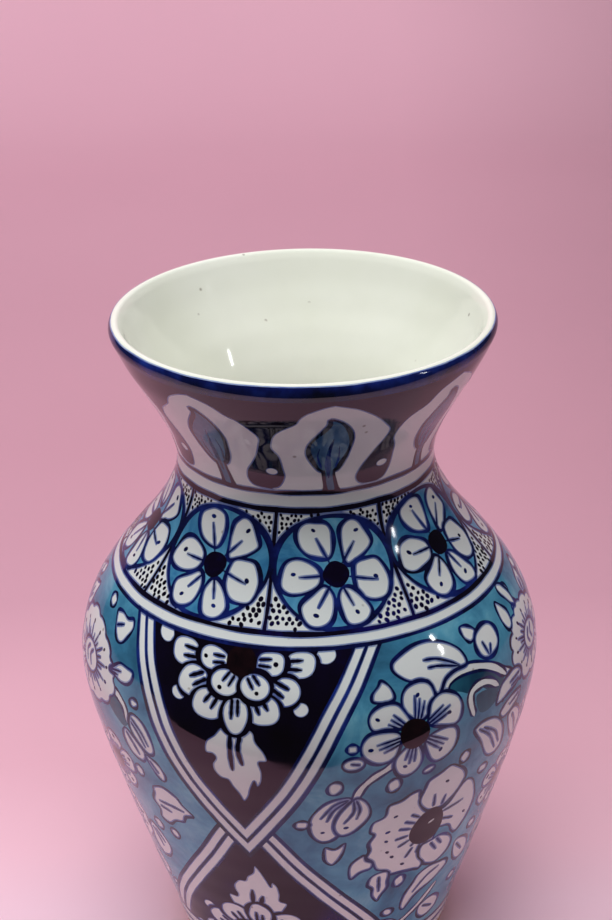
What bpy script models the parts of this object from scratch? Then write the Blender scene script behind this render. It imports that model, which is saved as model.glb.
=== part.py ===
"""Flared pottery vase, built as a potter builds it.

Four turned clay sections are luted together with rings of slip over stepped joints. A white
glaze lines the inside and rolls over the lip, and three painted glaze coats cover the outside.
Units are metres, +Z is up, and the origin is the centre of the foot's resting face.
"""

import math

import bpy
from mathutils import Vector

COLLECTION_NAME = "talavera_vase"
ROUND_STEPS = 40  # facets round every turned piece
CURVE_SAMPLES = 24  # fine samples between two silhouette points

# The painted surface's silhouette, top to bottom: (height, radius).
SILHOUETTE = (
    (0.2962, 0.0806),
    (0.2860, 0.0764),
    (0.2757, 0.0707),
    (0.2514, 0.0577),
    (0.2380, 0.0549),
    (0.2206, 0.0601),
    (0.1906, 0.0825),
    (0.1704, 0.0953),
    (0.1480, 0.1005),
    (0.1218, 0.0966),
    (0.0732, 0.0823),
    (0.0408, 0.0718),
    (0.0200, 0.0650),
    (0.0095, 0.0622),
)

# The rolled lip is a round edge on the top of the flared mouth.
LIP_HEIGHT = 0.2975
LIP_RADIUS = 0.0785
LIP_ROLL = 0.0025
LIP_END_ANGLE = -31.0  # where the white roll stops on the outside, degrees from level
LIP_INNER_ANGLE = 149.0  # where the roll meets the inner wall

GLAZE = 0.0006
GAP = 0.0003  # clearance kept between touching pieces
CLAY_AT_LIP = 0.0032
CLAY_AT_BELLY = 0.0044
BELLY_HEIGHT = 0.1480
BELLY_BASE = 0.1200  # below this the wall is nearly straight and needs fewer edges
NEAR = 0.0012  # a shared height this near the end of a line is left out

# Heights where the clay sections meet, and where the painted coats meet.
BELLY_JOINT = 0.1480
WAIST_JOINT = 0.2380
TONGUE = 0.0030  # how far the lower section's tongue reaches into the upper one
SLIP = 0.0008  # thickness of a ring of joining slip
NECK_COAT_END = 0.2359
SHOULDER_COAT_END = 0.1872
BODY_COAT_END = 0.0110

# Foot ring and floor.
FOOT_HEIGHT = 0.0080
FOOT_TOP_RADIUS = 0.0585
FOOT_BASE_RADIUS = 0.0602
FOOT_INNER_RADIUS = 0.0490
FOOT_EDGE = 0.0012  # bevel on the resting edge
FLOOR_THICKNESS = 0.0065
FLOOR_RIM = 0.0030  # height of the bevel under the floor's edge
FLOOR_CURVE = 0.0100  # how far the inner wall sweeps in where it meets the floor


def clear_scene():
    for item in list(bpy.data.objects):
        bpy.data.objects.remove(item, do_unlink=True)


def smooth_silhouette():
    """Catmull-Rom curve through the silhouette's points, as (radius, height) vectors."""
    knots = [Vector((radius, height)) for height, radius in SILHOUETTE]
    knots = [2 * knots[0] - knots[1]] + knots + [2 * knots[-1] - knots[-2]]
    curve = []
    for before, start, end, after in zip(knots, knots[1:], knots[2:], knots[3:]):
        for step in range(CURVE_SAMPLES):
            t = step / CURVE_SAMPLES
            curve.append(
                0.5
                * (
                    2 * start
                    + (end - before) * t
                    + (2 * before - 5 * start + 4 * end - after) * t**2
                    + (3 * start - before - 3 * end + after) * t**3
                )
            )
    curve.append(knots[-2])
    return curve


CURVE = smooth_silhouette()


def wall_point(height, inset):
    """The point at this height on the silhouette, moved in by inset at right angles to it."""
    index = next(i for i, point in enumerate(CURVE[1:]) if point.y <= height + 1e-9)
    upper, lower = CURVE[index], CURVE[index + 1]
    share = (upper.y - height) / (upper.y - lower.y)
    along = (lower - upper).normalized()
    inward = Vector((along.y, -along.x))
    return upper.lerp(lower, share) + inward * inset


def clay_inner_inset(height):
    """Depth of the clay's inner face: the wall thins from the belly up to the lip."""
    share = max(0.0, (height - BELLY_HEIGHT) / (LIP_HEIGHT - BELLY_HEIGHT))
    clay = CLAY_AT_BELLY + (CLAY_AT_LIP - CLAY_AT_BELLY) * share
    return GLAZE + GAP + clay


def shared_heights():
    """Heights that every layer of the wall has an edge at, so that the layers stay parallel."""
    heights = [height for height, _ in SILHOUETTE]
    middles = [(high + low) / 2 for high, low in zip(heights, heights[1:]) if low > BELLY_BASE]
    tongues = [BELLY_JOINT + TONGUE, WAIST_JOINT + TONGUE]
    return heights + middles + tongues + [NECK_COAT_END, SHOULDER_COAT_END]


SHARED_HEIGHTS = sorted(set(shared_heights()), reverse=True)


def wall_line(start, end, inset):
    """Points along the wall from one height to another; inset is a depth or a function."""
    low, high = min(start, end) + NEAR, max(start, end) - NEAR
    heights = [height for height in SHARED_HEIGHTS if low < height < high]
    if start < end:
        heights.reverse()
    heights = [start] + heights + [end]
    depths = [inset(h) if callable(inset) else inset for h in heights]
    return [wall_point(h, d) for h, d in zip(heights, depths)]


def lip_arc(radius, start, end, count):
    """Points round the rolled lip, from one angle to another in degrees."""
    angles = [math.radians(start + (end - start) * i / (count - 1)) for i in range(count)]
    centre = Vector((LIP_RADIUS, LIP_HEIGHT))
    return [centre + radius * Vector((math.cos(a), math.sin(a))) for a in angles]


def material(name, colour, roughness, metallic=0.0):
    made = bpy.data.materials.new(name)
    made.use_nodes = True
    shader = made.node_tree.nodes["Principled BSDF"]
    shader.inputs["Base Color"].default_value = (*colour, 1.0)
    shader.inputs["Roughness"].default_value = roughness
    shader.inputs["Metallic"].default_value = metallic
    return made


def turned(name, outline, finish, parts, closed=True):
    """Turns an outline of (radius, height) points into a solid. A closed outline makes a ring."""
    mesh = bpy.data.meshes.new(name)
    edges = [(i, i + 1) for i in range(len(outline) - 1)]
    if closed:
        edges.append((len(outline) - 1, 0))
    mesh.from_pydata([(point.x, 0.0, point.y) for point in outline], edges, [])
    piece = bpy.data.objects.new(name, mesh)
    parts.objects.link(piece)
    piece.data.materials.append(finish)
    screw = piece.modifiers.new("turn", "SCREW")
    screw.axis = "Z"
    screw.steps = ROUND_STEPS
    screw.render_steps = ROUND_STEPS
    screw.use_merge_vertices = True
    screw.merge_threshold = 0.00005
    screw.use_smooth_shade = True
    return piece


def foot_ring(finish, parts):
    """Trimmed ring that the vase stands on, with a flat resting face between two bevels."""
    outline = [
        Vector((FOOT_TOP_RADIUS, FOOT_HEIGHT)),
        Vector((FOOT_BASE_RADIUS, 2 * FOOT_EDGE)),
        Vector((FOOT_BASE_RADIUS - FOOT_EDGE, 0.0)),
        Vector((FOOT_INNER_RADIUS + FOOT_EDGE, 0.0)),
        Vector((FOOT_INNER_RADIUS, 2 * FOOT_EDGE)),
        Vector((FOOT_INNER_RADIUS, FOOT_HEIGHT)),
    ]
    turned("foot_ring", outline, finish, parts)


def foot_slip(finish, parts):
    """Flat ring of slip between the foot ring and the floor."""
    low = FOOT_HEIGHT + GAP
    high = low + SLIP
    outer = FOOT_TOP_RADIUS - GAP
    inner = FOOT_INNER_RADIUS + GAP
    outline = [
        Vector((outer, high)),
        Vector((outer, low)),
        Vector((inner, low)),
        Vector((inner, high)),
    ]
    turned("foot_slip", outline, finish, parts)


def joint_slip(name, joint, finish, parts):
    """Ring of slip on the outer half of a stepped joint."""
    low = joint - SLIP / 2
    high = joint + SLIP / 2
    outer = GLAZE + GAP
    inner = middle_inset(joint) - GAP
    outline = [
        wall_point(high, outer),
        wall_point(low, outer),
        wall_point(low, inner),
        wall_point(high, inner),
    ]
    turned(name, outline, finish, parts)


def middle_inset(joint):
    """Depth of the middle of the clay wall at a joint."""
    return (GLAZE + GAP + clay_inner_inset(joint)) / 2


def joint_top(joint):
    """Top edge of a lower section, from its inner face to its outer one, with its tongue."""
    step = joint - SLIP / 2 - GAP
    tongue = joint + TONGUE
    middle = middle_inset(joint)
    return [
        wall_point(tongue, clay_inner_inset(tongue)),
        wall_point(tongue, middle),
        wall_point(step, middle),
    ]


def joint_bottom(joint):
    """Bottom edge of an upper section, from its outer face to its inner one, over the tongue."""
    step = joint + SLIP / 2 + GAP
    seat = joint + TONGUE + GAP
    middle = middle_inset(joint) - GAP
    return [
        wall_point(step, middle),
        wall_point(seat, middle),
    ]


def lower_body(finish, parts):
    """Thrown bowl with the floor, up to the widest part of the belly."""
    base = FOOT_HEIGHT + 2 * GAP + SLIP
    top = BELLY_JOINT - SLIP / 2 - GAP
    floor = base + FLOOR_THICKNESS
    corner_height = floor + FLOOR_CURVE
    corner = wall_point(corner_height, clay_inner_inset(corner_height))
    outline = [Vector((0.0, floor)), Vector((corner.x - FLOOR_CURVE, floor))]
    outline += wall_line(corner_height, BELLY_JOINT, clay_inner_inset)
    outline += joint_top(BELLY_JOINT)
    outline += wall_line(top, base + FLOOR_RIM, GLAZE + GAP)
    outline += [Vector((FOOT_TOP_RADIUS, base)), Vector((0.0, base))]
    turned("lower_body", outline, finish, parts, closed=False)


def upper_body(finish, parts):
    """Thrown shoulder, from the belly in to the waist."""
    top = WAIST_JOINT - SLIP / 2 - GAP
    step = BELLY_JOINT + SLIP / 2 + GAP
    seat = BELLY_JOINT + TONGUE + GAP
    outline = wall_line(top, step, GLAZE + GAP)
    outline += joint_bottom(BELLY_JOINT)
    outline += wall_line(seat, WAIST_JOINT, clay_inner_inset)
    outline += joint_top(WAIST_JOINT)
    turned("upper_body", outline, finish, parts)


def neck(finish, parts):
    """Thrown flared mouth, from the waist out to the round lip."""
    top = SILHOUETTE[0][0]
    step = WAIST_JOINT + SLIP / 2 + GAP
    seat = WAIST_JOINT + TONGUE + GAP
    outline = lip_arc(LIP_ROLL - GLAZE - GAP, LIP_INNER_ANGLE, LIP_END_ANGLE, 6)
    outline += wall_line(top, step, GLAZE + GAP)[1:]
    outline += joint_bottom(WAIST_JOINT)
    outline += wall_line(seat, top, clay_inner_inset)[:-1]
    turned("neck", outline, finish, parts)


def lining_inset(height):
    """Depth of the lining's back, against the clay."""
    return clay_inner_inset(height) + GAP


def lining_face_inset(height):
    """Depth of the lining's face, which the hollow shows."""
    return lining_inset(height) + GLAZE


def inner_glaze(finish, parts):
    """White lining: from the floor up the wall, and over the lip to its outside."""
    top = SILHOUETTE[0][0]
    floor = FOOT_HEIGHT + 2 * GAP + SLIP + FLOOR_THICKNESS + GAP
    corner = floor + FLOOR_CURVE
    back_corner = wall_point(corner, lining_inset(corner))
    face_corner = wall_point(corner, lining_face_inset(corner))
    outline = [Vector((0.0, floor + GLAZE))]
    outline.append(Vector((face_corner.x - FLOOR_CURVE, floor + GLAZE)))
    outline += wall_line(corner, top, lining_face_inset)[:-1]
    outline += lip_arc(LIP_ROLL, LIP_INNER_ANGLE, LIP_END_ANGLE, 6)
    outline += lip_arc(LIP_ROLL - GLAZE, LIP_END_ANGLE, LIP_INNER_ANGLE, 6)
    outline += wall_line(top, corner, lining_inset)[1:]
    outline.append(Vector((back_corner.x - FLOOR_CURVE, floor)))
    outline.append(Vector((0.0, floor)))
    turned("inner_glaze", outline, finish, parts, closed=False)


def painted_coat(name, top, bottom, finish, parts):
    """One painted zone of the outer glaze."""
    outline = wall_line(top, bottom, 0.0)
    outline += wall_line(bottom, top, GLAZE)
    turned(name, outline, finish, parts)


def main():
    clear_scene()
    parts = bpy.data.collections.new(COLLECTION_NAME)
    bpy.context.scene.collection.children.link(parts)

    clay = (0.62, 0.42, 0.30)
    foot_ring(material("foot_clay", clay, 0.85), parts)
    lower_body(material("lower_clay", clay, 0.85), parts)
    upper_body(material("upper_clay", clay, 0.85), parts)
    neck(material("neck_clay", clay, 0.85), parts)

    slip = (0.70, 0.56, 0.44)
    foot_slip(material("foot_slip", slip, 0.9), parts)
    joint_slip("belly_slip", BELLY_JOINT, material("belly_slip", slip, 0.9), parts)
    joint_slip("waist_slip", WAIST_JOINT, material("waist_slip", slip, 0.9), parts)

    inner_glaze(material("white_glaze", (0.72, 0.76, 0.66), 0.12), parts)
    lip_end = lip_arc(LIP_ROLL, LIP_END_ANGLE, LIP_END_ANGLE - 1, 2)[0].y
    cobalt = material("cobalt_glaze", (0.02, 0.02, 0.12), 0.1)
    painted_coat("neck_glaze", lip_end - 2 * GAP, NECK_COAT_END, cobalt, parts)
    roundels = material("roundel_glaze", (0.24, 0.45, 0.60), 0.1)
    painted_coat("shoulder_glaze", NECK_COAT_END - GAP, SHOULDER_COAT_END, roundels, parts)
    turquoise = material("turquoise_glaze", (0.08, 0.32, 0.45), 0.1)
    painted_coat("body_glaze", SHOULDER_COAT_END - GAP, BODY_COAT_END, turquoise, parts)


main()
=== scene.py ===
"""Looks of the talavera vase: a thrown body in white glaze, with its painting as thin films.

The painting is laid out on the unrolled wall. A place on it is (x, s) in millimetres: s runs down
the wall from near the top of the lip, and x runs round the wall from a meridian, to the right as
seen from outside. A meridian is an angle in degrees; 0 faces -Y and 90 faces +X. Shapes are laid
over one another as the brush did, then cut along their edges into one film for each paint.
"""

import math
import random

import bpy
import numpy as np
from mathutils import Matrix, Vector
from mathutils.geometry import delaunay_2d_cdt


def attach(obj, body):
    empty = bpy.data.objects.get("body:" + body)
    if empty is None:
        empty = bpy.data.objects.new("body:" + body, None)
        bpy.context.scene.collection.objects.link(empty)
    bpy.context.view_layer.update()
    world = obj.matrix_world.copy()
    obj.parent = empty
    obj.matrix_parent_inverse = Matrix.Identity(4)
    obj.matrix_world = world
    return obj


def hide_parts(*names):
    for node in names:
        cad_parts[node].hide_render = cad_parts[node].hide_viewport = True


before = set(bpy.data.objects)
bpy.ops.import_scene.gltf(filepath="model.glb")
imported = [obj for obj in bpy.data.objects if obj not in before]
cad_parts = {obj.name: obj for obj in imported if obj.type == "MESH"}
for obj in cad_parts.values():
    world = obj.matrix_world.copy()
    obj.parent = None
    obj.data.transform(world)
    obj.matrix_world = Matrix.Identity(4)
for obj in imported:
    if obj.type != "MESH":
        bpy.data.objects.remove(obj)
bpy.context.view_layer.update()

MM = 0.001

# ---------------------------------------------------------------- dimensions, in metres
# The painted surface's silhouette, top to bottom: (height, radius), as in the CAD model but for
# its first point, which meets the taller lip.
SILHOUETTE = (
    (0.2949, 0.0807),
    (0.2860, 0.0764),
    (0.2757, 0.0707),
    (0.2514, 0.0577),
    (0.2380, 0.0549),
    (0.2206, 0.0601),
    (0.1906, 0.0825),
    (0.1704, 0.0953),
    (0.1480, 0.1005),
    (0.1218, 0.0966),
    (0.0732, 0.0823),
    (0.0408, 0.0718),
    (0.0200, 0.0650),
    (0.0095, 0.0622),
)
LIP_HEIGHT = 0.2966
LIP_RADIUS = 0.0785
LIP_ROLL = 0.0025
LIP_TALLER = 1.36  # the lip's roll is this much taller than wide
LIP_END_ANGLE = -29.2  # where the roll stops on the outside, degrees from level
LIP_INNER_ANGLE = 135.0  # where it meets the inner wall
WALL_AT_LIP = 0.0057  # depth of the lining's face under the painted surface
WALL_AT_BELLY = 0.0062
BELLY_HEIGHT = 0.1480
GLAZE = 0.0006
FLOOR_HEIGHT = 0.0165
FLOOR_CURVE = 0.0180  # sweep of the lining from the wall into the floor
BODY_GLAZE_END = 0.0112  # height where the glaze stops above the foot
AROUND = 288  # facets round each turned piece
ROLL_POINTS = 60  # samples round the outside of the lip's roll
WALL_POINTS = 1600  # samples down the outer wall

# ---------------------------------------------------------------- layout of the painting, in mm
WALL_START = 4.9  # s where the wall leaves the lip's roll
RIM_BAND = (0.5, 7.4)
WAIST_LINE = (62.3, 64.2)
WAIST_BAND_MIDDLE = 66.7
SHOULDER_LINE = (70.2, 72.4)
SHOULDER_END_LINE = (120.9, 122.9)
WHITE_BAND_MIDDLE = 125.0
BODY_LINE = (127.2, 128.8)
FOOT_LINE = (300.0, 301.8)
LAST_LINE = (306.5, 307.8)
UNROLL_RADIUS = 80.0  # turns angle into a flat distance while the films are cut
NET = 3.0  # spacing of the extra points that carry the films round the curve
LIP_NET = 0.3  # the same down the lip's tight roll
FILM_TOP = 0.00007  # metres that a film of paint stands out of the white
FILM_BOTTOM = -0.00008

REPEATS = 8  # medallions round the neck, and roundels round the shoulder
FIRST_MEDALLION = 9.0  # meridian of the one nearest the front
FIRST_ROUNDEL = 9.5
DARK_PANEL = -18.0  # meridian of the front dark panels; the others are opposite
MIDDLE_SPRAY = 90.0  # from a dark panel's meridian to the middle of the turquoise on its right
NEAR_SPRAY = 55.5  # from it to the meridian that its right-hand spray is drawn about
FAR_SPRAY = -19.0  # and to the one that its left-hand spray is drawn about
MOTIF_TURN = 2.0  # from it to the middle of the half flowers on the dark panels

TURQUOISE, COBALT, GROUND, WASH = "turquoise", "cobalt", "ground", "wash"
CENTRE, ROUND, TEAL, BLEED, WHITE = "centre", "roundel", "teal", "bleed", ""
BLEED_WIDTH = 0.55  # how far cobalt feathers into the white beside it

# ---------------------------------------------------------------- studio, in metres
BACKDROP_FRONT = -0.26
BACKDROP_DEPTH = 1.62
BACKDROP_RISE = 1.9
BACKDROP_WIDTH = 3.2
BACKDROP_CURVE = 0.45  # radius of the bend from floor to back
ROOM_COLOUR = (0.80, 0.86, 1.0, 1.0)
ROOM_STRENGTH = 0.06
LIGHT_TARGET = (0.0, 0.0, 0.18)
OVERHEAD_PLACE = (-0.25, -0.20, 1.95)
OVERHEAD_SIZE = 2.0
OVERHEAD_WATTS = 50.0
PANE_WIDTH = 0.040
# The two window panes that the glaze mirrors: (name, place, height, watts).
PANES = (
    ("low_pane", (1.15, -0.40, 0.63), 0.09, 0.40),
    ("high_pane", (1.12, -0.39, 0.79), 0.07, 0.35),
)
SENSOR_HEIGHT = 36.0  # mm
VIEW_LENS = 86.087  # mm
VIEW_DISTANCE = 0.91481  # from the camera to the mouth's centre, along the view axis
VIEW_PITCH = 24.70  # degrees that the camera looks down
VIEW_ROLL = 1.14
VIEW_SHIFT = (-0.00014, 0.06184)  # how far the mouth's centre sits off the view axis
MOUTH_HEIGHT = 0.300  # height of the mouth's centre


# ---------------------------------------------------------------- the turned surface
def natural_spline(points, samples):
    """Smooth curve through points, with even curvature, sampled by chord length."""
    points = np.array(points, float)
    steps = np.hypot(*np.diff(points, axis=0).T)
    knots = np.concatenate([[0.0], np.cumsum(steps)])
    count = len(points)
    system = np.zeros((count, count))
    right = np.zeros((count, 2))
    system[0, 0] = system[-1, -1] = 1.0
    for i in range(1, count - 1):
        system[i, i - 1] = steps[i - 1]
        system[i, i] = 2 * (steps[i - 1] + steps[i])
        system[i, i + 1] = steps[i]
        right[i] = 6 * (
            (points[i + 1] - points[i]) / steps[i] - (points[i] - points[i - 1]) / steps[i - 1]
        )
    bend = np.linalg.solve(system, right)
    places = np.linspace(0.0, knots[-1], samples)
    span = np.clip(np.searchsorted(knots, places, side="right") - 1, 0, count - 2)
    before = (places - knots[span])[:, None]
    after = (knots[span + 1] - places)[:, None]
    length = steps[span][:, None]
    return (
        bend[span] * after**3 / (6 * length)
        + bend[span + 1] * before**3 / (6 * length)
        + (points[span] / length - bend[span] * length / 6) * after
        + (points[span + 1] / length - bend[span + 1] * length / 6) * before
    )


def arc(radius, start, end, count):
    """Points on the lip's roll as (radius, height), between two angles in degrees."""
    angles = np.radians(np.linspace(start, end, count))
    return np.column_stack(
        [
            LIP_RADIUS + radius * np.cos(angles),
            LIP_HEIGHT + LIP_TALLER * radius * np.sin(angles),
        ]
    )


def outer_table():
    """The outer surface, finely sampled: distance in mm, radius, height, and outward normal."""
    wall = natural_spline([(radius, height) for height, radius in SILHOUETTE], WALL_POINTS)
    roll = arc(LIP_ROLL, 100.0, LIP_END_ANGLE, ROLL_POINTS)[:-1]
    line = np.vstack([roll, wall])
    length = np.concatenate([[0.0], np.cumsum(np.hypot(*np.diff(line, axis=0).T))])
    distance = WALL_START + (length - length[len(roll)]) / MM
    along = np.gradient(line, length, axis=0)
    along /= np.hypot(*along.T)[:, None]
    return distance, line[:, 0], line[:, 1], -along[:, 1], along[:, 0]


OUTER_S, OUTER_R, OUTER_Z, OUTER_NR, OUTER_NZ = outer_table()


def radius_at(s):
    """Radius in mm at a distance down the wall."""
    return np.interp(s, OUTER_S, OUTER_R) / MM


def s_at_height(height):
    """Distance down the wall at a height below the lip's roll."""
    return float(np.interp(-height, -OUTER_Z[ROLL_POINTS:], OUTER_S[ROLL_POINTS:]))


def hand_wobble(angle, height):
    """How far the potter's hand left the wall off true, in metres: slow lobes and throwing rings."""
    lobes = 0.00011 * np.sin(2 * angle + 0.7) + 0.00006 * np.sin(3 * angle + 2.1 + 9 * height)
    rings = 0.00004 * np.sin(520 * height + angle) + 0.00003 * np.sin(330 * height - angle + 1.3)
    return lobes + rings


def on_wall(angle, s, lift=0.0):
    """Points on the outer surface, for arrays of angles in radians and distances in mm."""
    angle, s = np.asarray(angle, float), np.asarray(s, float)
    height = np.interp(s, OUTER_S, OUTER_Z)
    radius = np.interp(s, OUTER_S, OUTER_R) + hand_wobble(angle, height)
    radius = radius + lift * np.interp(s, OUTER_S, OUTER_NR)
    height = height + lift * np.interp(s, OUTER_S, OUTER_NZ)
    return np.stack([radius * np.sin(angle), -radius * np.cos(angle), height], -1)


def wall_normals(angle, s):
    """Outward normals of the surface that on_wall gives."""
    turn, step = 1e-3, 0.4
    across = on_wall(angle + turn, s) - on_wall(angle - turn, s)
    down = on_wall(angle, s + step) - on_wall(angle, s - step)
    normal = np.cross(down, across)
    return normal / np.linalg.norm(normal, axis=-1, keepdims=True)


# ---------------------------------------------------------------- materials
def new_material(name):
    made = bpy.data.materials.new(name)
    made.use_nodes = True
    made.node_tree.nodes.clear()
    return made


class Nodes:
    """Short calls for building one material's node tree."""

    def __init__(self, name):
        self.material = new_material(name)
        self.tree = self.material.node_tree
        self.shader = self.add("ShaderNodeBsdfPrincipled")
        output = self.add("ShaderNodeOutputMaterial")
        self.link(self.shader.outputs["BSDF"], output.inputs["Surface"])
        self.place = self.add("ShaderNodeTexCoord").outputs["Object"]

    def add(self, kind, **values):
        node = self.tree.nodes.new(kind)
        for key, value in values.items():
            setattr(node, key, value)
        return node

    def link(self, source, target):
        self.tree.links.new(source, target)

    def stretched(self, scale):
        """Object coordinates scaled apart on each axis, so that a pattern runs in streaks."""
        node = self.add("ShaderNodeMapping")
        self.link(self.place, node.inputs["Vector"])
        node.inputs["Scale"].default_value = scale
        return node.outputs["Vector"]

    def parts(self, vector):
        node = self.add("ShaderNodeSeparateXYZ")
        self.link(vector, node.inputs[0])
        return node.outputs

    def noise(self, scale, detail, roughness=0.55, vector=None, distortion=0.0):
        node = self.add("ShaderNodeTexNoise")
        node.inputs["Scale"].default_value = scale
        node.inputs["Detail"].default_value = detail
        node.inputs["Roughness"].default_value = roughness
        node.inputs["Distortion"].default_value = distortion
        self.link(vector or self.place, node.inputs["Vector"])
        return node.outputs["Fac"]

    def ramp(self, value, stops):
        """Colour ramp through (position, colour) stops."""
        node = self.add("ShaderNodeValToRGB")
        while len(node.color_ramp.elements) < len(stops):
            node.color_ramp.elements.new(0.5)
        for element, (position, colour) in zip(node.color_ramp.elements, stops):
            element.position = position
            element.color = (*colour, 1.0)
        self.link(value, node.inputs["Fac"])
        return node.outputs["Color"]

    def spread(self, value, low, high, new_low, new_high):
        node = self.add("ShaderNodeMapRange")
        self.link(value, node.inputs["Value"])
        for socket, number in zip(("From Min", "From Max", "To Min", "To Max"),
                                  (low, high, new_low, new_high)):
            node.inputs[socket].default_value = number
        return node.outputs["Result"]

    def mix(self, share, first, second, blend="MIX"):
        """Mixes two colours; share and each colour may be a socket or a value."""
        node = self.add("ShaderNodeMix", data_type="RGBA", blend_type=blend)
        for socket, value in ((node.inputs[0], share), (node.inputs[6], first), (node.inputs[7], second)):
            if isinstance(value, bpy.types.NodeSocket):
                self.link(value, socket)
            elif isinstance(value, tuple):
                socket.default_value = (*value, 1.0)
            else:
                socket.default_value = value
        return node.outputs[2]

    def finish(self, colour, roughness, bump=None, strength=0.1, distance=0.0002):
        """Sets colour and roughness, each a socket or a value, and an optional bump."""
        for name, value in (("Base Color", colour), ("Roughness", roughness)):
            if isinstance(value, bpy.types.NodeSocket):
                self.link(value, self.shader.inputs[name])
            else:
                self.shader.inputs[name].default_value = value
        if bump is not None:
            node = self.add("ShaderNodeBump")
            node.inputs["Strength"].default_value = strength
            node.inputs["Distance"].default_value = distance
            self.link(bump, node.inputs["Height"])
            self.link(node.outputs["Normal"], self.shader.inputs["Normal"])
        return self.material


PINK_REFLECTION_TINT = (1.0, 0.68, 0.84)  # painted reflection: a pink tint on what the dark paints reflect, beyond what the pink floor gives


def glossy(nodes, colour):
    """A paint under the clear glaze: very smooth, with faint waves and thumb-sized dull patches."""
    waves = nodes.noise(95.0, 2.0, 0.5)
    dull = nodes.spread(nodes.noise(30.0, 4.0), 0.35, 0.75, 0.045, 0.12)
    return nodes.finish(colour, dull, waves, 0.12, 0.0003)


def white_glaze(name, first, second):
    """Off-white glaze that drifts between two tones, with sparse iron specks."""
    nodes = Nodes(name)
    drift = nodes.ramp(nodes.noise(14.0, 4.0), ((0.35, first), (0.65, second)))
    specks = nodes.add("ShaderNodeTexVoronoi")
    specks.inputs["Scale"].default_value = 120.0
    nodes.link(nodes.place, specks.inputs["Vector"])
    sparse = nodes.spread(nodes.noise(60.0, 2.0), 0.53, 0.56, 0.0, 1.0)
    near = nodes.spread(specks.outputs["Distance"], 0.05, 0.12, 0.75, 0.0)
    product = nodes.add("ShaderNodeMath", operation="MULTIPLY")
    nodes.link(near, product.inputs[0])
    nodes.link(sparse, product.inputs[1])
    colour = nodes.mix(product.outputs[0], drift, (0.30, 0.25, 0.20))
    return glossy(nodes, colour)


def turquoise_paint(name):
    """Watery turquoise: pale where the brush ran dry, deep where it pooled."""
    nodes = Nodes(name)
    wash = nodes.noise(26.0, 5.0, 0.62, distortion=0.6)
    colour = nodes.ramp(
        wash,
        (
            (0.28, (0.025, 0.105, 0.190)),
            (0.42, (0.052, 0.225, 0.370)),
            (0.56, (0.105, 0.370, 0.530)),
            (0.72, (0.240, 0.560, 0.670)),
        ),
    )
    streaks = nodes.noise(40.0, 3.0, 0.6, nodes.stretched((1.0, 1.0, 4.0)))
    shade = nodes.ramp(streaks, ((0.3, (0.78, 0.82, 0.86)), (0.7, (1.0, 1.0, 1.0))))
    return glossy(nodes, nodes.mix(1.0, colour, shade, "MULTIPLY"))


def cobalt_paint(name):
    """Cobalt brush line: blue where thin and nearly black where thick."""
    nodes = Nodes(name)
    load = nodes.noise(55.0, 4.0, 0.6)
    colour = nodes.ramp(
        load,
        (
            (0.32, (0.0014, 0.0018, 0.018)),
            (0.50, (0.0028, 0.0060, 0.074)),
            (0.70, (0.0100, 0.0280, 0.220)),
        ),
    )
    return glossy(nodes, colour)


def ground_paint(name):
    """Thick cobalt ground, blue-black with deep violet-blue patches."""
    nodes = Nodes(name)
    load = nodes.noise(17.0, 5.0, 0.6)
    colour = nodes.ramp(
        load,
        (
            (0.36, (0.0012, 0.0008, 0.0022)),
            (0.54, (0.0026, 0.0014, 0.0110)),
            (0.70, (0.0050, 0.0045, 0.1200)),
        ),
    )
    # painted reflection: this paint's reflections are tinted pink
    nodes.shader.inputs["Specular Tint"].default_value = (*PINK_REFLECTION_TINT, 1.0)
    return glossy(nodes, colour)


def bud_wash(name):
    """Thin blue-grey wash inside the neck's buds."""
    nodes = Nodes(name)
    colour = nodes.ramp(
        nodes.noise(70.0, 4.0, 0.6, nodes.stretched((1.0, 1.0, 0.35))),
        ((0.30, (0.020, 0.065, 0.150)), (0.52, (0.065, 0.150, 0.270)), (0.72, (0.160, 0.270, 0.400))),
    )
    return glossy(nodes, colour)


def centre_paint(name):
    """Brown-black flower centres."""
    nodes = Nodes(name)
    colour = nodes.ramp(
        nodes.noise(160.0, 3.0), ((0.35, (0.0030, 0.0012, 0.0016)), (0.70, (0.0120, 0.0035, 0.0045)))
    )
    # painted reflection: the centres' reflections are tinted pink
    nodes.shader.inputs["Specular Tint"].default_value = (*PINK_REFLECTION_TINT, 1.0)
    return glossy(nodes, colour)


def roundel_paint(name):
    """Bluer turquoise of the shoulder, laid with a broad brush."""
    nodes = Nodes(name)
    colour = nodes.ramp(
        nodes.noise(34.0, 5.0, 0.62, distortion=0.8),
        (
            (0.28, (0.016, 0.085, 0.215)),
            (0.42, (0.042, 0.205, 0.400)),
            (0.56, (0.105, 0.355, 0.560)),
            (0.72, (0.280, 0.560, 0.710)),
        ),
    )
    return glossy(nodes, colour)


def teal_paint(name):
    """Two coats of turquoise, one over the other."""
    nodes = Nodes(name)
    colour = nodes.ramp(
        nodes.noise(40.0, 4.0, 0.6), ((0.32, (0.006, 0.040, 0.085)), (0.70, (0.020, 0.130, 0.200)))
    )
    return glossy(nodes, colour)


def bleed_paint(name):
    """Cobalt that ran into the white glaze beside it in the firing."""
    nodes = Nodes(name)
    colour = nodes.ramp(
        nodes.noise(80.0, 3.0, 0.6),
        ((0.30, (0.090, 0.130, 0.360)), (0.52, (0.230, 0.290, 0.520)), (0.74, (0.450, 0.500, 0.620))),
    )
    return glossy(nodes, colour)


def fired_clay(name, base):
    """Unglazed clay: speckled, matt and finely gritty."""
    nodes = Nodes(name)
    dark = tuple(0.72 * part for part in base)
    light = tuple(min(1.0, 1.12 * part) for part in base)
    mottle = nodes.ramp(nodes.noise(45.0, 6.0), ((0.35, dark), (0.65, light)))
    grit = nodes.noise(900.0, 3.0, 0.6)
    rough = nodes.spread(nodes.noise(120.0, 3.0), 0.3, 0.7, 0.72, 0.92)
    return nodes.finish(mottle, rough, grit, 0.5, 0.0002)


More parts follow.
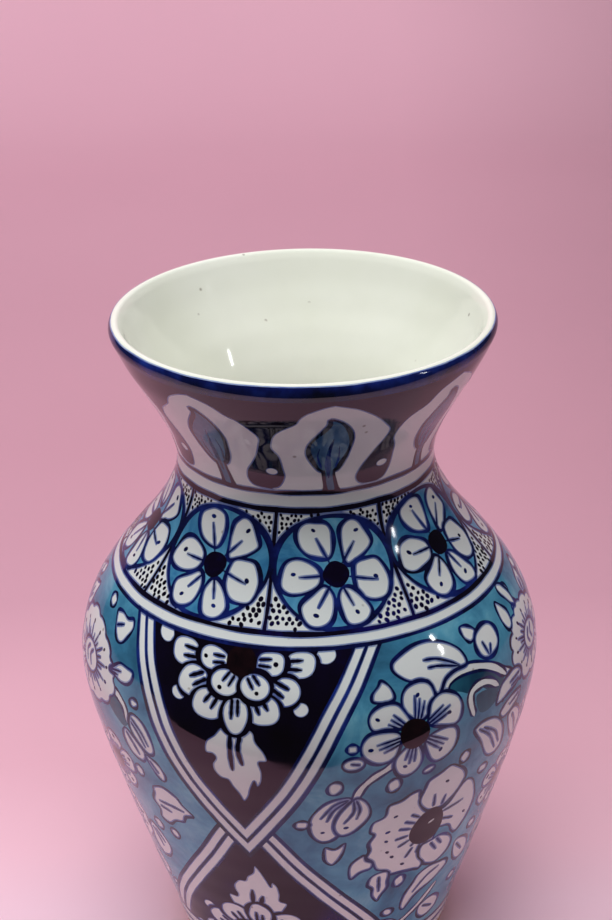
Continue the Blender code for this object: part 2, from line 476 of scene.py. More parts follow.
PAINTS = {
    TURQUOISE: turquoise_paint("turquoise_paint"),
    COBALT: cobalt_paint("cobalt_paint"),
    GROUND: ground_paint("ground_paint"),
    WASH: bud_wash("bud_wash"),
    CENTRE: centre_paint("centre_paint"),
    ROUND: roundel_paint("roundel_paint"),
    TEAL: teal_paint("teal_paint"),
    BLEED: bleed_paint("bleed_paint"),
}


# ---------------------------------------------------------------- meshes
def link_piece(name, mesh, material):
    piece = bpy.data.objects.new(name, mesh)
    bpy.context.scene.collection.objects.link(piece)
    mesh.materials.append(material)
    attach(piece, "root")
    return piece


def turned_piece(name, outline, material):
    """Turns an outline of (radius, height) into a closed piece. It goes down its outer side."""
    outline = np.array(outline, float)
    on_axis = outline[:, 0] < 1e-6
    angles = np.linspace(0.0, 2 * math.pi, AROUND, endpoint=False)
    radius, height = outline[~on_axis].T
    turn, tall = np.meshgrid(angles, height)
    wide = radius[:, None] + hand_wobble(turn, tall) * np.minimum(1.0, radius[:, None] / 0.03)
    points = np.stack([wide * np.sin(turn), -wide * np.cos(turn), tall], -1).reshape(-1, 3)
    rows = len(radius)
    faces = []
    last = rows if not on_axis.any() else rows - 1
    for row in range(last):
        below = (row + 1) % rows
        for column in range(AROUND):
            beside = (column + 1) % AROUND
            faces.append(
                (
                    row * AROUND + column,
                    below * AROUND + column,
                    below * AROUND + beside,
                    row * AROUND + beside,
                )
            )
    points = points.tolist()
    for end, row in ((outline[0], 0), (outline[-1], rows - 1)):
        if end[0] < 1e-6:
            points.append((0.0, 0.0, end[1]))
            tip = len(points) - 1
            for column in range(AROUND):
                beside = (column + 1) % AROUND
                pair = (row * AROUND + column, row * AROUND + beside)
                faces.append((tip, *pair) if row == 0 else (tip, *reversed(pair)))
    mesh = bpy.data.meshes.new(name)
    mesh.from_pydata(points, [], faces)
    mesh.shade_smooth()
    mesh.set_sharp_from_angle(angle=math.radians(50))
    return link_piece(name, mesh, material)


def film_piece(name, places, triangles, material):
    """A closed film of paint on the wall, from flat triangles over places (angle, s)."""
    used, index = np.unique(triangles, return_inverse=True)
    index = index.reshape(-1, 3)
    angle, s = places[used].T
    count = len(used)
    top = on_wall(angle, s, FILM_TOP)
    bottom = on_wall(angle, s, FILM_BOTTOM)
    normals = wall_normals(angle, s)
    pairs = np.vstack([index[:, [0, 1]], index[:, [1, 2]], index[:, [2, 0]]])
    key = pairs[:, 0].astype(np.int64) * count + pairs[:, 1]
    back = pairs[:, 1].astype(np.int64) * count + pairs[:, 0]
    border = pairs[~np.isin(back, key)]
    lid = index[:, ::-1]
    base = index + count
    walls = np.column_stack([border, border[:, ::-1] + count])
    mesh = bpy.data.meshes.new(name)
    faces = lid.tolist() + base.tolist() + walls.tolist()
    mesh.from_pydata(np.vstack([top, bottom]).tolist(), [], faces)
    corner = np.zeros((len(mesh.loops), 3))
    loop_vertex = np.empty(len(mesh.loops), np.int32)
    mesh.loops.foreach_get("vertex_index", loop_vertex)
    lid_loops = 3 * len(lid)
    corner[:lid_loops] = normals[loop_vertex[:lid_loops]]
    corner[lid_loops : 2 * lid_loops] = -normals[loop_vertex[lid_loops : 2 * lid_loops] - count]
    side = top[border[:, 1]] - top[border[:, 0]]
    outward = np.cross(normals[border[:, 0]], side)
    outward /= np.maximum(np.linalg.norm(outward, axis=1, keepdims=True), 1e-12)
    corner[2 * lid_loops :] = np.repeat(outward, 4, axis=0)
    mesh.shade_smooth()
    mesh.normals_split_custom_set(corner)
    layer = mesh.uv_layers.new(name="OFBake")
    flat = np.tile(np.column_stack([angle / (2 * math.pi), 1.0 - (s - s.min()) / np.ptp(s)]), (2, 1))
    flat[:, 0] -= flat[:, 0].min()
    layer.data.foreach_set("uv", flat[loop_vertex].ravel())
    return link_piece(name, mesh, material)


# ---------------------------------------------------------------- brush shapes on the flat wall
def smooth_path(points, closed=False, spacing=0.9):
    """Catmull-Rom curve through points, sampled about every spacing mm."""
    points = np.array(points, float)
    if closed:
        knots = np.vstack([points[-1], points, points[:2]])
    else:
        knots = np.vstack([2 * points[0] - points[1], points, 2 * points[-1] - points[-2]])
    path = []
    for before, start, end, after in zip(knots, knots[1:], knots[2:], knots[3:]):
        steps = max(2, math.ceil(np.hypot(*(end - start)) / spacing))
        for t in np.arange(steps) / steps:
            path.append(
                0.5
                * (
                    2 * start
                    + (end - before) * t
                    + (2 * before - 5 * start + 4 * end - after) * t**2
                    + (3 * start - before - 3 * end + after) * t**3
                )
            )
    if not closed:
        path.append(knots[-2])
    return np.array(path)


def side_normals(path, closed=False):
    """Unit normals of a path, to its left as drawn with s downwards."""
    if closed:
        along = np.roll(path, -1, axis=0) - np.roll(path, 1, axis=0)
    else:
        along = np.gradient(path, axis=0)
    along /= np.maximum(np.hypot(*along.T), 1e-9)[:, None]
    return np.column_stack([along[:, 1], -along[:, 0]])


def signed_area(path):
    ahead = np.roll(path, -1, axis=0)
    return 0.5 * float(np.sum(path[:, 0] * ahead[:, 1] - ahead[:, 0] * path[:, 1]))


def grown(path, distance):
    """A closed path moved outwards by a distance in mm, or by one distance for each point."""
    outward = side_normals(path, closed=True)
    if signed_area(path) < 0:
        outward = -outward
    return path + outward * np.reshape(distance, (-1, 1))


def ellipse(centre, half_width, half_height, tilt=0.0, spacing=0.9):
    """A closed oval; tilt is in degrees."""
    count = max(10, math.ceil(math.pi * (half_width + half_height) / spacing))
    turn = np.linspace(0.0, 2 * math.pi, count, endpoint=False)
    across, down = half_width * np.cos(turn), half_height * np.sin(turn)
    c, s = math.cos(math.radians(tilt)), math.sin(math.radians(tilt))
    return np.array(centre) + np.column_stack([across * c - down * s, across * s + down * c])


def is_inside(path, points):
    """Which points a closed path winds round in its own direction."""
    x0, y0 = path.T
    x1, y1 = np.roll(path, -1, axis=0).T
    x, y = points[:, :1], points[:, 1:]
    side = (x1 - x0) * (y - y0) - (x - x0) * (y1 - y0)
    rising = (y0 <= y) & (y < y1) & (side > 0)
    falling = (y1 <= y) & (y < y0) & (side < 0)
    return rising.sum(axis=1) > falling.sum(axis=1)


def with_short_edges(path):
    """The same closed path, with points added so that no edge is longer than the net."""
    pieces = []
    for start, end in zip(path, np.roll(path, -1, axis=0)):
        count = max(1, math.ceil(np.hypot(*(end - start)) / NET))
        pieces.append(start + (end - start) * (np.arange(count) / count)[:, None])
    return np.vstack(pieces)


class Painting:
    """Shapes on a ring of the unrolled wall, from s = top to s = bottom, in the order painted."""

    def __init__(self, top, bottom, seam):
        self.top, self.bottom, self.seam = top, bottom, math.radians(seam)
        self.turn = 2 * math.pi * UNROLL_RADIUS
        self.shapes = []
        self.bleeds = []

    def flat(self, angle, s):
        """A closed path's flat corners, running the positive way and starting within the ring."""
        path = np.column_stack([(angle - self.seam) * UNROLL_RADIUS, s])
        if signed_area(path) < 0:
            path = path[::-1]
        path = with_short_edges(path)
        return path - (math.floor(path[:, 0].min() / self.turn) * self.turn, 0.0)

    def lay(self, angle, s, paint):
        """Lays a closed shape, given by its corners' angles and distances."""
        path = self.flat(angle, s)
        self.shapes.append((path, paint))
        if path[:, 0].max() > self.turn:
            self.shapes.append((path - (self.turn, 0.0), paint))

    def feather(self, outer, inner=None):
        """Lets cobalt bleed into white within outer but not inner, under shapes laid later."""
        outer = self.flat(*outer.T)
        shift = (0.0, 0.0)
        if inner is not None:
            inner = self.flat(*inner.T)
            if inner[:, 0].min() < outer[:, 0].min():
                shift = (self.turn, 0.0)
            inner = inner + shift
        self.bleeds.append((outer, inner, len(self.shapes)))
        if outer[:, 0].max() > self.turn:
            back = np.array((self.turn, 0.0))
            behind = None if inner is None else inner - back
            self.bleeds.append((outer - back, behind, len(self.shapes)))

    def band(self, start, end, paint, waver=0.14):
        """Lays a level band right round, whose edges waver by a few tenths of a millimetre."""
        across = np.linspace(-NET, self.turn + NET, round(self.turn / NET) + 3)
        angle = across / UNROLL_RADIUS
        upper = waver * (np.sin(9 * angle + start) + 0.7 * np.sin(23 * angle + 2 * start)) / 1.7
        lower = waver * (np.sin(7 * angle + end) + 0.7 * np.sin(19 * angle + 2 * end)) / 1.7
        for more in (0.0, BLEED_WIDTH):
            edge = np.column_stack([across, start - more + upper])
            back = np.column_stack([across, end + more + lower])[::-1]
            path = np.vstack([edge, back])
            if more == 0.0:
                self.shapes.append((path, paint))
            elif paint != WHITE:
                self.bleeds.append((path, None, len(self.shapes)))

    def cut(self, prefix):
        """Cuts the shapes along one another's edges and makes one film for each paint."""
        columns = np.linspace(0.0, self.turn, round(self.turn / NET) + 1)
        rows = np.linspace(self.top, self.bottom, round((self.bottom - self.top) / NET) + 1)
        rows = np.union1d(rows, np.arange(self.top, WALL_START + 0.7, LIP_NET))
        ends = (0.0, self.turn)
        rim = [(x, s) for x, s in zip((*ends, *ends[::-1]), (self.top, self.top, self.bottom, self.bottom))]
        points = [np.stack(np.meshgrid(columns, rows), -1).reshape(-1, 2)]
        edges, total = [], len(points[0])
        outlines = [np.array(rim)] + [path for path, _ in self.shapes]
        outlines += [path for outer, inner, _ in self.bleeds for path in (outer, inner) if path is not None]
        for path in outlines:
            order = np.arange(len(path))
            edges.append(np.column_stack([order, np.roll(order, -1)]) + total)
            points.append(path)
            total += len(path)
        corners = [Vector(point) for point in np.vstack(points).tolist()]
        result = delaunay_2d_cdt(corners, np.vstack(edges).tolist(), [], 0, 1e-4, False)
        places = np.array([tuple(v) for v in result[0]])
        triangles = np.array(result[2])
        middles = places[triangles].mean(axis=1)
        order = np.argsort(middles[:, 0])
        sorted_x = middles[order, 0]

        def covered(path):
            """Triangles whose middles lie in a closed path."""
            first, last = np.searchsorted(sorted_x, (path[:, 0].min(), path[:, 0].max()))
            near = order[first:last]
            down = middles[near, 1]
            near = near[(down > path[:, 1].min()) & (down < path[:, 1].max())]
            return near[is_inside(path, middles[near])]

        topmost = np.zeros(len(triangles), int)
        for number, (path, _) in enumerate(self.shapes, start=1):
            topmost[covered(path)] = number
        paints = np.array([WHITE] + [paint for _, paint in self.shapes], dtype="U12")[topmost]
        for outer, inner, number in self.bleeds:
            near = covered(outer)
            if inner is not None:
                near = np.setdiff1d(near, covered(inner))
            near = near[(topmost[near] <= number) & (paints[near] == WHITE)]
            paints[near] = BLEED
        within = (middles[:, 0] > 0) & (middles[:, 0] < self.turn)
        within &= (middles[:, 1] > self.top) & (middles[:, 1] < self.bottom)
        places[:, 0] = places[:, 0] / UNROLL_RADIUS + self.seam
        for paint in PAINTS:
            chosen = triangles[within & (paints == paint)]
            if len(chosen):
                name = f"{prefix}_{paint}"
                film_piece(name, places, chosen, PAINTS[paint])


class Brush:
    """Draws on a painting about one meridian, with its own seeded unevenness."""

    def __init__(self, painting, meridian, seed):
        self.painting = painting
        self.meridian = math.radians(meridian)
        self.random = random.Random(seed)

    def shaken(self, points, amount):
        """The same points a little off, as a hand repeats them."""
        return [
            (x + self.random.uniform(-amount, amount), s + self.random.uniform(-amount, amount))
            for x, s in points
        ]

    def uneven(self, count, amount):
        """A slow random factor near 1 along a line of count points."""
        phase, waves = self.random.uniform(0, 6.28), self.random.randint(2, 4)
        turn = np.linspace(0.0, 2 * math.pi, count, endpoint=False)
        return 1.0 + amount * np.sin(waves * turn + phase)

    def placed(self, path):
        """A path about this brush's meridian, as angles and distances."""
        path = np.array(path, float)
        angle = self.meridian + path[:, 0] / radius_at(path[:, 1])
        return np.column_stack([angle, path[:, 1]])

    def fill(self, path, paint, fringe=0.0):
        """A filled shape; a fringe lets the dark round it bleed over its edge."""
        path = np.array(path, float)
        self.painting.lay(*self.placed(path).T, paint)
        if fringe:
            self.painting.feather(self.placed(path), self.placed(grown(path, -fringe)))

    def stroke(self, points, width, paint=COBALT, start=0.12, end=0.3):
        """A brush stroke through points; start and end are the shares of it that taper."""
        path = smooth_path(points)
        share = np.linspace(0.0, 1.0, len(path))
        taper = np.sqrt(np.clip(share / start, 0, 1)) * np.sqrt(np.clip((1 - share) / end, 0, 1))
        half = 0.5 * width * np.maximum(taper, 0.12) * self.uneven(len(path), 0.10)
        normals = side_normals(path)
        side = normals * half[:, None]
        self.fill(np.vstack([path + side, (path - side)[::-1]]), paint)
        if paint in (COBALT, GROUND):
            wide = normals * (half + BLEED_WIDTH)[:, None]
            self.painting.feather(self.placed(np.vstack([path + wide, (path - wide)[::-1]])))

    def outlined(self, path, fill, width, line=COBALT):
        """A closed shape filled with one paint, inside a line of another of uneven width."""
        half = 0.5 * width * self.uneven(len(path), 0.28)
        self.fill(grown(path, half), line)
        self.fill(grown(path, -half), fill)
        outer = self.placed(grown(path, half + BLEED_WIDTH))
        self.painting.feather(outer, self.placed(grown(path, -half - BLEED_WIDTH)))

    def form(self, points, fill, width, line=COBALT, soft=2):
        """An outlined shape through points, smoothly joined; more soft passes round its corners."""
        path = smooth_path(self.shaken(points, 0.25), closed=True)
        for _ in range(soft):
            path = 0.5 * path + 0.25 * (np.roll(path, 1, axis=0) + np.roll(path, -1, axis=0))
        self.outlined(path, fill, width, line)

    def blot(self, centre, half_width, half_height, paint):
        """A round blot of paint with a slightly uneven edge."""
        path = ellipse(centre, half_width, half_height)
        self.fill(grown(path, 0.035 * half_width * (self.uneven(len(path), 1.0) - 1.0)), paint)

    def dot(self, centre, half_width, half_height, tilt=0.0, paint=COBALT):
        scale = self.random.uniform(0.85, 1.15)
        self.fill(ellipse(centre, scale * half_width, scale * half_height, tilt, 0.5), paint)


def petal_path(centre, angle, inner, length, width):
    """A round-ended petal; angle is anticlockwise from the right, as seen."""
    turn = math.radians(angle)
    out = np.array([math.cos(turn), -math.sin(turn)])
    across = np.array([math.sin(turn), math.cos(turn)])
    half = ((0.0, 0.17), (0.28, 0.36), (0.58, 0.50), (0.82, 0.46), (0.95, 0.27))
    right = [(share, side) for share, side in half]
    left = [(share, -side) for share, side in reversed(half)]
    path = []
    for share, side in right + [(1.0, 0.0)] + left:
        reach = inner + share * (length - inner)
        path.append(np.array(centre) + out * reach + across * width * side)
    return smooth_path(path, closed=True)


def open_flower(brush, centre, core, outlines, dots, vein_count=3, core_paint=CENTRE, width=1.35):
    """Flower drawn petal by petal, with a dot on each and veins that rise from its dark core."""
    centre = np.array(centre, float)
    for outline, dot in zip(outlines, dots):
        brush.form(outline, WHITE, width, soft=5)
        out = np.mean(outline, axis=0) - centre
        reach = np.hypot(*out)
        out /= reach
        across = np.array((-out[1], out[0]))
        spread = 0.9 * (vein_count - 1)
        for offset in np.linspace(-spread, spread, vein_count):
            start = centre + out * core * 0.85 + across * offset * 0.7
            end = centre + out * reach * brush.random.uniform(0.92, 1.12) + across * offset * 1.3
            brush.stroke([start, end], 0.95, end=0.4)
        brush.dot(dot, 1.15, 0.8, brush.random.uniform(-60, 60))
    brush.blot(centre, core, core, core_paint)


# ---------------------------------------------------------------- neck
def neck_medallion(brush):
    """White lobed medallion with a blue bud on a stem."""
    right = [
        (5, 11.5), (10, 14), (15, 17.5), (19, 21), (22.6, 25.4), (24.3, 30.5), (22.8, 36), (19.5, 42),
        (16, 48), (12.8, 53), (12.0, 57.5), (14.5, 60.8), (22.6, 61.9),
    ]
    left = [
        (-22.6, 61.5), (-19.2, 60), (-18, 55), (-18.5, 50), (-21, 43), (-24, 37), (-24.6, 32),
        (-23.2, 27), (-20.5, 24), (-15.8, 20.4), (-13.8, 17), (-11, 14), (-5, 11),
    ]
    base = [(22.6, 63.0), (-22.6, 63.0)]
    painted_shade_to_right = brush.shaken([(0, 9.9)] + right, 0.4)
    rest = brush.shaken(left, 0.4)
    upper = smooth_path(painted_shade_to_right)
    lower = smooth_path(rest + [painted_shade_to_right[0]])
    brush.fill(np.vstack([upper, base, lower[:-1]]), WHITE, BLEED_WIDTH)

    bud = [
        (-2.0, 18.3), (0.8, 19.0), (4.4, 22.5), (7.0, 28), (7.8, 34), (7.0, 41), (5.4, 46),
        (2.4, 51.5), (-3.0, 51.5), (-6.8, 46), (-8.6, 40), (-8.8, 35), (-7.2, 30.5),
        (-4.2, 26.2), (-1.8, 22.6), (-1.2, 20.2),
    ]
    stalk = [(-3.2, 49), (-2.8, 54), (-2.0, 60), (-1.8, 64), (5.2, 64), (4.2, 60), (2.8, 54), (2.6, 49)]
    brush.fill(smooth_path(stalk, True), GROUND)
    brush.form(bud, WASH, 1.8, GROUND)
    pith = [(-1.6, 46), (-1.2, 54), (0.1, 62), (2.6, 62), (1.6, 54), (1.4, 46)]
    brush.fill(smooth_path(pith, True), WASH)
    brush.stroke([(0.2, 56), (-0.6, 47), (-0.6, 40), (0.6, 31)], 2.6, COBALT, start=0.3, end=0.8)
    brush.stroke([(2.6, 50), (3.6, 43), (3.2, 36)], 1.0, end=0.7)
    brush.stroke([(-3.0, 50), (-5.0, 43), (-4.6, 37)], 0.9, end=0.7)


def paint_neck():
    painting = Painting(RIM_BAND[0] - 0.6, WAIST_BAND_MIDDLE, FIRST_MEDALLION + 157.5)
    painting.band(RIM_BAND[1] - 0.4, WAIST_LINE[0] + 0.8, GROUND)
    painting.band(*RIM_BAND, COBALT)
    for number in range(REPEATS):
        meridian = FIRST_MEDALLION + number * 360 / REPEATS
        brush = Brush(painting, meridian, 100 + number)
        neck_medallion(brush)
        half_pitch = math.pi / REPEATS * radius_at(52.0)
        brush.fill(ellipse((half_pitch, 52.0), 2.6, 2.0, -10), WHITE, 0.3)
    painting.band(*WAIST_LINE, GROUND, 0.25)
    painting.cut("neck")


# ---------------------------------------------------------------- shoulder
ROUNDEL_CENTRE = (0.0, 97.4)
ROUNDEL_HALF = (24.9, 23.4)
DOTS_START = 71.4
DOT_ROWS = 27
DOTS_ASIDE = 12  # columns of dots on each side of a corner's middle
FINE_SPACING = 2.1  # of the dots above the roundels' middles
WIDE_SPACING = 2.8  # and below them


def corner_dots(brush, half_pitch):
    """Dots in the white corners between two roundels, in staggered rows."""
    s = DOTS_START
    for row in range(DOT_ROWS):
        spacing = FINE_SPACING if s < ROUNDEL_CENTRE[1] else WIDE_SPACING
        s += 0.86 * spacing
        size = 0.35 * spacing
        for column in range(-DOTS_ASIDE, DOTS_ASIDE + 1):
            x = (column + 0.5 * (row % 2)) * spacing
            x += brush.random.uniform(-0.45, 0.45)
            down = s + brush.random.uniform(-0.4, 0.4)
            reach_x = (half_pitch * radius_at(s) - abs(x)) / (ROUNDEL_HALF[0] + 1.5)
            reach_s = (down - ROUNDEL_CENTRE[1]) / (ROUNDEL_HALF[1] + 1.1)
            clear = math.hypot(reach_x, reach_s) > 1.0 and abs(x) > 1.5
            if clear and SHOULDER_LINE[1] + 0.8 < down < SHOULDER_END_LINE[0] - 0.9:
                brush.dot((x, down), 0.88 * size, 1.1 * size, brush.random.uniform(-40, 40), GROUND)


ROUNDEL_FLOWER = (0.5, 98.0)
ROUNDEL_PETALS = (
    ((-12.5, 84), (-12, 79), (-8, 76.5), (-5, 76), (0, 77), (2, 81), (1.5, 87), (-1, 92), (-9, 89.5)),
    ((4.5, 82), (6, 79), (9, 77.2), (13, 79), (17, 86), (17.5, 89), (14, 92), (9, 94.5), (5, 95)),
    ((8, 95), (14, 94), (18, 95), (21.5, 101), (22, 106), (20, 111), (16, 112), (11, 110.5), (7, 105)),
    (
        (2, 103), (6, 104.5), (10, 110), (12, 114.5), (10, 118.5), (5.5, 119.4), (1, 118), (-0.8, 112),
        (-0.5, 107),
    ),
    (
        (-5, 101), (-10, 104), (-15.5, 107.5), (-16.5, 111), (-15, 116), (-11, 118), (-6, 117),
        (-3, 113), (-2, 106),
    ),
    (
        (-5, 95), (-10, 91), (-14.5, 90), (-19, 92), (-22, 98), (-22.5, 101.5), (-19, 104.2),
        (-12, 104), (-6, 101),
    ),
)
ROUNDEL_MARKS = ((-5.5, 79), (12, 82), (16.8, 102.5), (6, 114.8), (-11, 113.5), (-16.8, 96))


def roundel(brush):
    """Oval of turquoise with a six-petalled white flower."""
    brush.outlined(ellipse(ROUNDEL_CENTRE, *ROUNDEL_HALF), ROUND, 2.2)
    turn = math.radians(brush.random.uniform(-5, 5))
    turned = np.array([[math.cos(turn), -math.sin(turn)], [math.sin(turn), math.cos(turn)]])
    centre = np.array(ROUNDEL_FLOWER)
    petals = [(np.array(petal) - centre) @ turned * 1.05 + centre for petal in ROUNDEL_PETALS]
    marks = [(np.array(mark) - centre) @ turned + centre for mark in ROUNDEL_MARKS]
    open_flower(brush, centre, 5.4, petals, marks, 1, GROUND, 1.6)


def paint_shoulder():
    painting = Painting(WAIST_BAND_MIDDLE, WHITE_BAND_MIDDLE, FIRST_ROUNDEL + 157.5)
    pitch = 360 / REPEATS
    for number in range(REPEATS):
        between = Brush(painting, FIRST_ROUNDEL + (number + 0.5) * pitch, 200 + number)
        corner_dots(between, math.radians(pitch / 2))
        between.stroke([(0.3, 70), (-0.2, 84), (0.3, 110), (0, 122)], 1.6, GROUND, start=0.01, end=0.01)
    for number in range(REPEATS):
        roundel(Brush(painting, FIRST_ROUNDEL + number * pitch, 300 + number))
    painting.band(*SHOULDER_LINE, GROUND, 0.25)
    painting.band(*SHOULDER_END_LINE, GROUND, 0.25)
    painting.cut("shoulder")


# ---------------------------------------------------------------- body lattice
# Right-hand edges of the hanging and the standing dark panels, each (x, s) from their mid-line.
PANEL_EDGE = [
    (57.5, 126), (56.5, 130), (52.0, 145), (45.5, 160), (37.5, 177), (27, 196), (15, 214),
    (-0.5, 236.5),
]
STRIPES = (
    (0.0, COBALT),
    (1.9, BLEED),
    (2.25, WHITE),
    (5.3, BLEED),
    (5.6, COBALT),
    (7.1, BLEED),
    (7.4, WHITE),
    (10.5, BLEED),
    (10.9, COBALT),
    (12.0, GROUND),
)


def panel_outline(edge, inset, tip_down):
    """A panel bounded by an edge and its mirror image, moved in by inset, meeting in a point."""
    path = smooth_path(edge, spacing=1.5)
    side = side_normals(path)
    if side[len(side) // 2, 0] > 0:
        side = -side
    moved = path + side * inset
    moved = moved[moved[:, 0] > 0.6]
    near, far = (moved[-1], moved[-4]) if tip_down else (moved[0], moved[3])
    slope = (near - far) / (near[0] - far[0])
    tip = near - slope * near[0]
    if tip_down:
        return np.vstack([moved, tip, (moved * (-1, 1))[::-1]])
    return np.vstack([tip, moved, (moved * (-1, 1))[::-1]])


FOOT_EDGE = [
    (-2, 196), (6, 208), (14.5, 219.5), (24.5, 237), (35.5, 254.5), (49, 277), (58.5, 300), (61, 304),
]


def striped_panel(brush, edge, tip_down):
    for inset, paint in STRIPES:
        brush.fill(panel_outline(edge, inset, tip_down), paint)


# Petals of the half flower, each (x, s, half width, half height, tilt) from the band it hangs on.
OUTER_PETALS = (
    (-28.5, 5.6, 7.4, 6.6, 0),
    (21.0, 4.8, 7.2, 6.4, 0),
    (-23.5, 16.2, 7.9, 6.9, -35),
    (16.0, 15.8, 7.2, 6.8, 30),
    (-15.5, 24.2, 8.3, 7.2, -12),
    (7.8, 23.8, 8.0, 7.0, 12),
)
INNER_PETALS = (
    (-15.2, 5.2, 7.4, 5.9, 0),
    (9.0, 4.8, 7.0, 6.2, 0),
    (-9.0, 14.2, 7.3, 6.4, -12),
    (3.8, 14.6, 7.0, 6.6, 12),
)
HEART = (-3.2, 4.8)
BEADS = ((-39.5, 1.2, 3.9, 3.6), (31.0, 1.2, 4.0, 3.4), (-30.0, 22.8, 3.2, 2.8), (23.2, 22.8, 3.1, 2.9))


def chrysanthemum(brush, line, down):
    """Half flower growing from a level line; down is 1 where it hangs and -1 where it stands."""
    def spot(x, s):
        return np.array((x, line + down * s))

    def marks(x, s, offsets, first, last, width):
        """Strokes on a petal, pointing away from the flower's heart."""
        out = np.array((x, s)) - HEART
        reach = np.hypot(*out)
        out /= reach
        across = np.array((-out[1], out[0]))
        for offset in offsets:
            start = np.array(HEART) + out * (reach + first) + across * offset
            end = np.array(HEART) + out * (reach + last) + across * offset * 1.35
            brush.stroke([spot(*start), spot(*end)], width, GROUND, start=0.1, end=0.3)

    for x, s, half_width, half_height in BEADS:
        brush.fill(ellipse(spot(x, s), half_width, half_height, down * 15, 0.8), WHITE, 0.3)
    for x, s, half_width, half_height, tilt in OUTER_PETALS:
        brush.outlined(ellipse(spot(x, s), half_width, half_height, down * tilt), WHITE, 1.5, GROUND)
        marks(x, s, (-1.4, 1.5), -6.5, 1.2, 1.5)
    brush.outlined(ellipse(spot(-3.5, 27.2), 6.3, 8.6), WHITE, 1.9, GROUND)
    for offset, end in ((-1.8, 29.0), (0.6, 27.5)):
        brush.stroke([spot(-3.5 + offset, 20), spot(-3.2 + 1.15 * offset, end)], 1.4, GROUND, 0.1, 0.3)
    for x, s, half_width, half_height, tilt in INNER_PETALS:
        brush.outlined(ellipse(spot(x, s), half_width, half_height, down * tilt), WHITE, 2.1, GROUND)
        marks(x, s, (-1.5, 0.9), -5.2, 0.6, 1.2)
        out = (np.array((x, s)) - HEART) * 1.24 + HEART
        brush.dot(spot(*out) - (0.8, 0.0), 1.05, 0.95, 30, GROUND)
    brush.blot(spot(*HEART), 6.6, 6.1, CENTRE)


LEAF = (
    (-3.5, 0.0), (-9.0, 0.6), (-12.6, 4.6), (-15.8, 8.6), (-16.4, 13.4), (-13.2, 13.8), (-12.2, 16.0),
    (-13.6, 19.0), (-13.0, 22.4), (-10.4, 25.6), (-7.6, 26.2), (-6.0, 29.6), (-3.2, 33.0), (-1.6, 37.6),
    (0.4, 34.0), (2.0, 29.4), (3.6, 24.6), (4.9, 27.6), (6.6, 25.0), (7.0, 20.0), (6.4, 15.0), (9.8, 13.8),
    (8.4, 9.8), (5.4, 5.4), (3.6, 0.8),
)


def serrated_leaf(brush, base, down):
    """White leaf with a toothed edge and two veins, from a point on its broad end's level."""
    corners = brush.shaken(LEAF, 0.3)
    path = np.array([(base[0] + x, base[1] + down * s) for x, s in corners])
    brush.fill(smooth_path(path, closed=True, spacing=0.8), WHITE, BLEED_WIDTH)
    for vein in (((-5.5, 3.0), (-5.6, 12.0), (-5.0, 21.0)), ((-1.2, 3.0), (-2.2, 10.0), (-0.5, 17.6))):
        points = [(base[0] + x, base[1] + down * s) for x, s in vein]
        brush.stroke(points, 1.9, GROUND, start=0.08, end=0.2)


def dark_panels(painting, meridian, seed):
    """The V that hangs from the band, crossing the inverted V that stands on the foot."""
    brush = Brush(painting, meridian, seed)
    striped_panel(brush, FOOT_EDGE, False)
    motif = Brush(painting, meridian + MOTIF_TURN, seed + 50)
    serrated_leaf(motif, (0.0, 279.0), -1)
    chrysanthemum(motif, 303.0, -1)
    striped_panel(brush, PANEL_EDGE, True)
    serrated_leaf(motif, (0.0, 161.5), 1)
    chrysanthemum(motif, 129.6, 1)


# ---------------------------------------------------------------- sprays on turquoise
def small_flower(brush, centre, core, petals, vein_count=3):
    """Open flower with a dark core; petals are (angle, length, width)."""
    outlines = [petal_path(centre, angle, core * 0.5, length, width)[::3]
                for angle, length, width in petals]
    dots = []
    for angle, length, _ in petals:
        turn = math.radians(angle + brush.random.uniform(-5, 5))
        dots.append(np.array(centre) + 0.78 * length * np.array((math.cos(turn), -math.sin(turn))))
    open_flower(brush, centre, core, outlines, dots, vein_count)


def scalloped_flower(brush, centre, radius, core, lobes, squash=1.0):
    """Full flower with a scalloped edge and a pale folded heart, ringed by short strokes and dots."""
    turn = np.linspace(0.0, 2 * math.pi, lobes * 9, endpoint=False)
    phase = brush.random.uniform(0, 1)
    swell = 0.90 + 0.10 * np.sqrt(np.abs(np.sin(lobes * turn / 2 + phase)))
    swell *= 1.0 + 0.04 * np.sin(3 * turn + 2 * phase)
    reach = radius * swell
    edge = np.array(centre) + np.column_stack([reach * np.cos(turn), squash * reach * np.sin(turn)])
    brush.outlined(edge, WHITE, 1.15)
    for number in range(lobes * 2):
        angle = 2 * math.pi * (number + brush.random.uniform(-0.2, 0.2)) / (lobes * 2)
        out = np.array([math.cos(angle), squash * math.sin(angle)])
        reach = core + (radius - core) * (0.55 if number % 2 else 0.38)
        brush.stroke([np.array(centre) + out * 1.3 * core, np.array(centre) + out * reach], 0.9, end=0.5)
    for number in range(lobes):
        angle = 2 * math.pi * (number + 0.5) / lobes + phase / lobes
        out = np.array([math.cos(angle), squash * math.sin(angle)])
        brush.dot(np.array(centre) + out * radius * 0.72, 1.0, 0.7, math.degrees(angle))
    brush.outlined(ellipse(centre, 1.35 * core, 1.35 * core * squash), WHITE, 1.1)
    for side in (-0.6, 0.1):
        folds = ((side + 0.5, -0.8), (side, -0.1), (side + 0.3, 0.7))
        brush.stroke([np.array(centre) + core * np.array((x, squash * s)) for x, s in folds], 1.0, end=0.4)


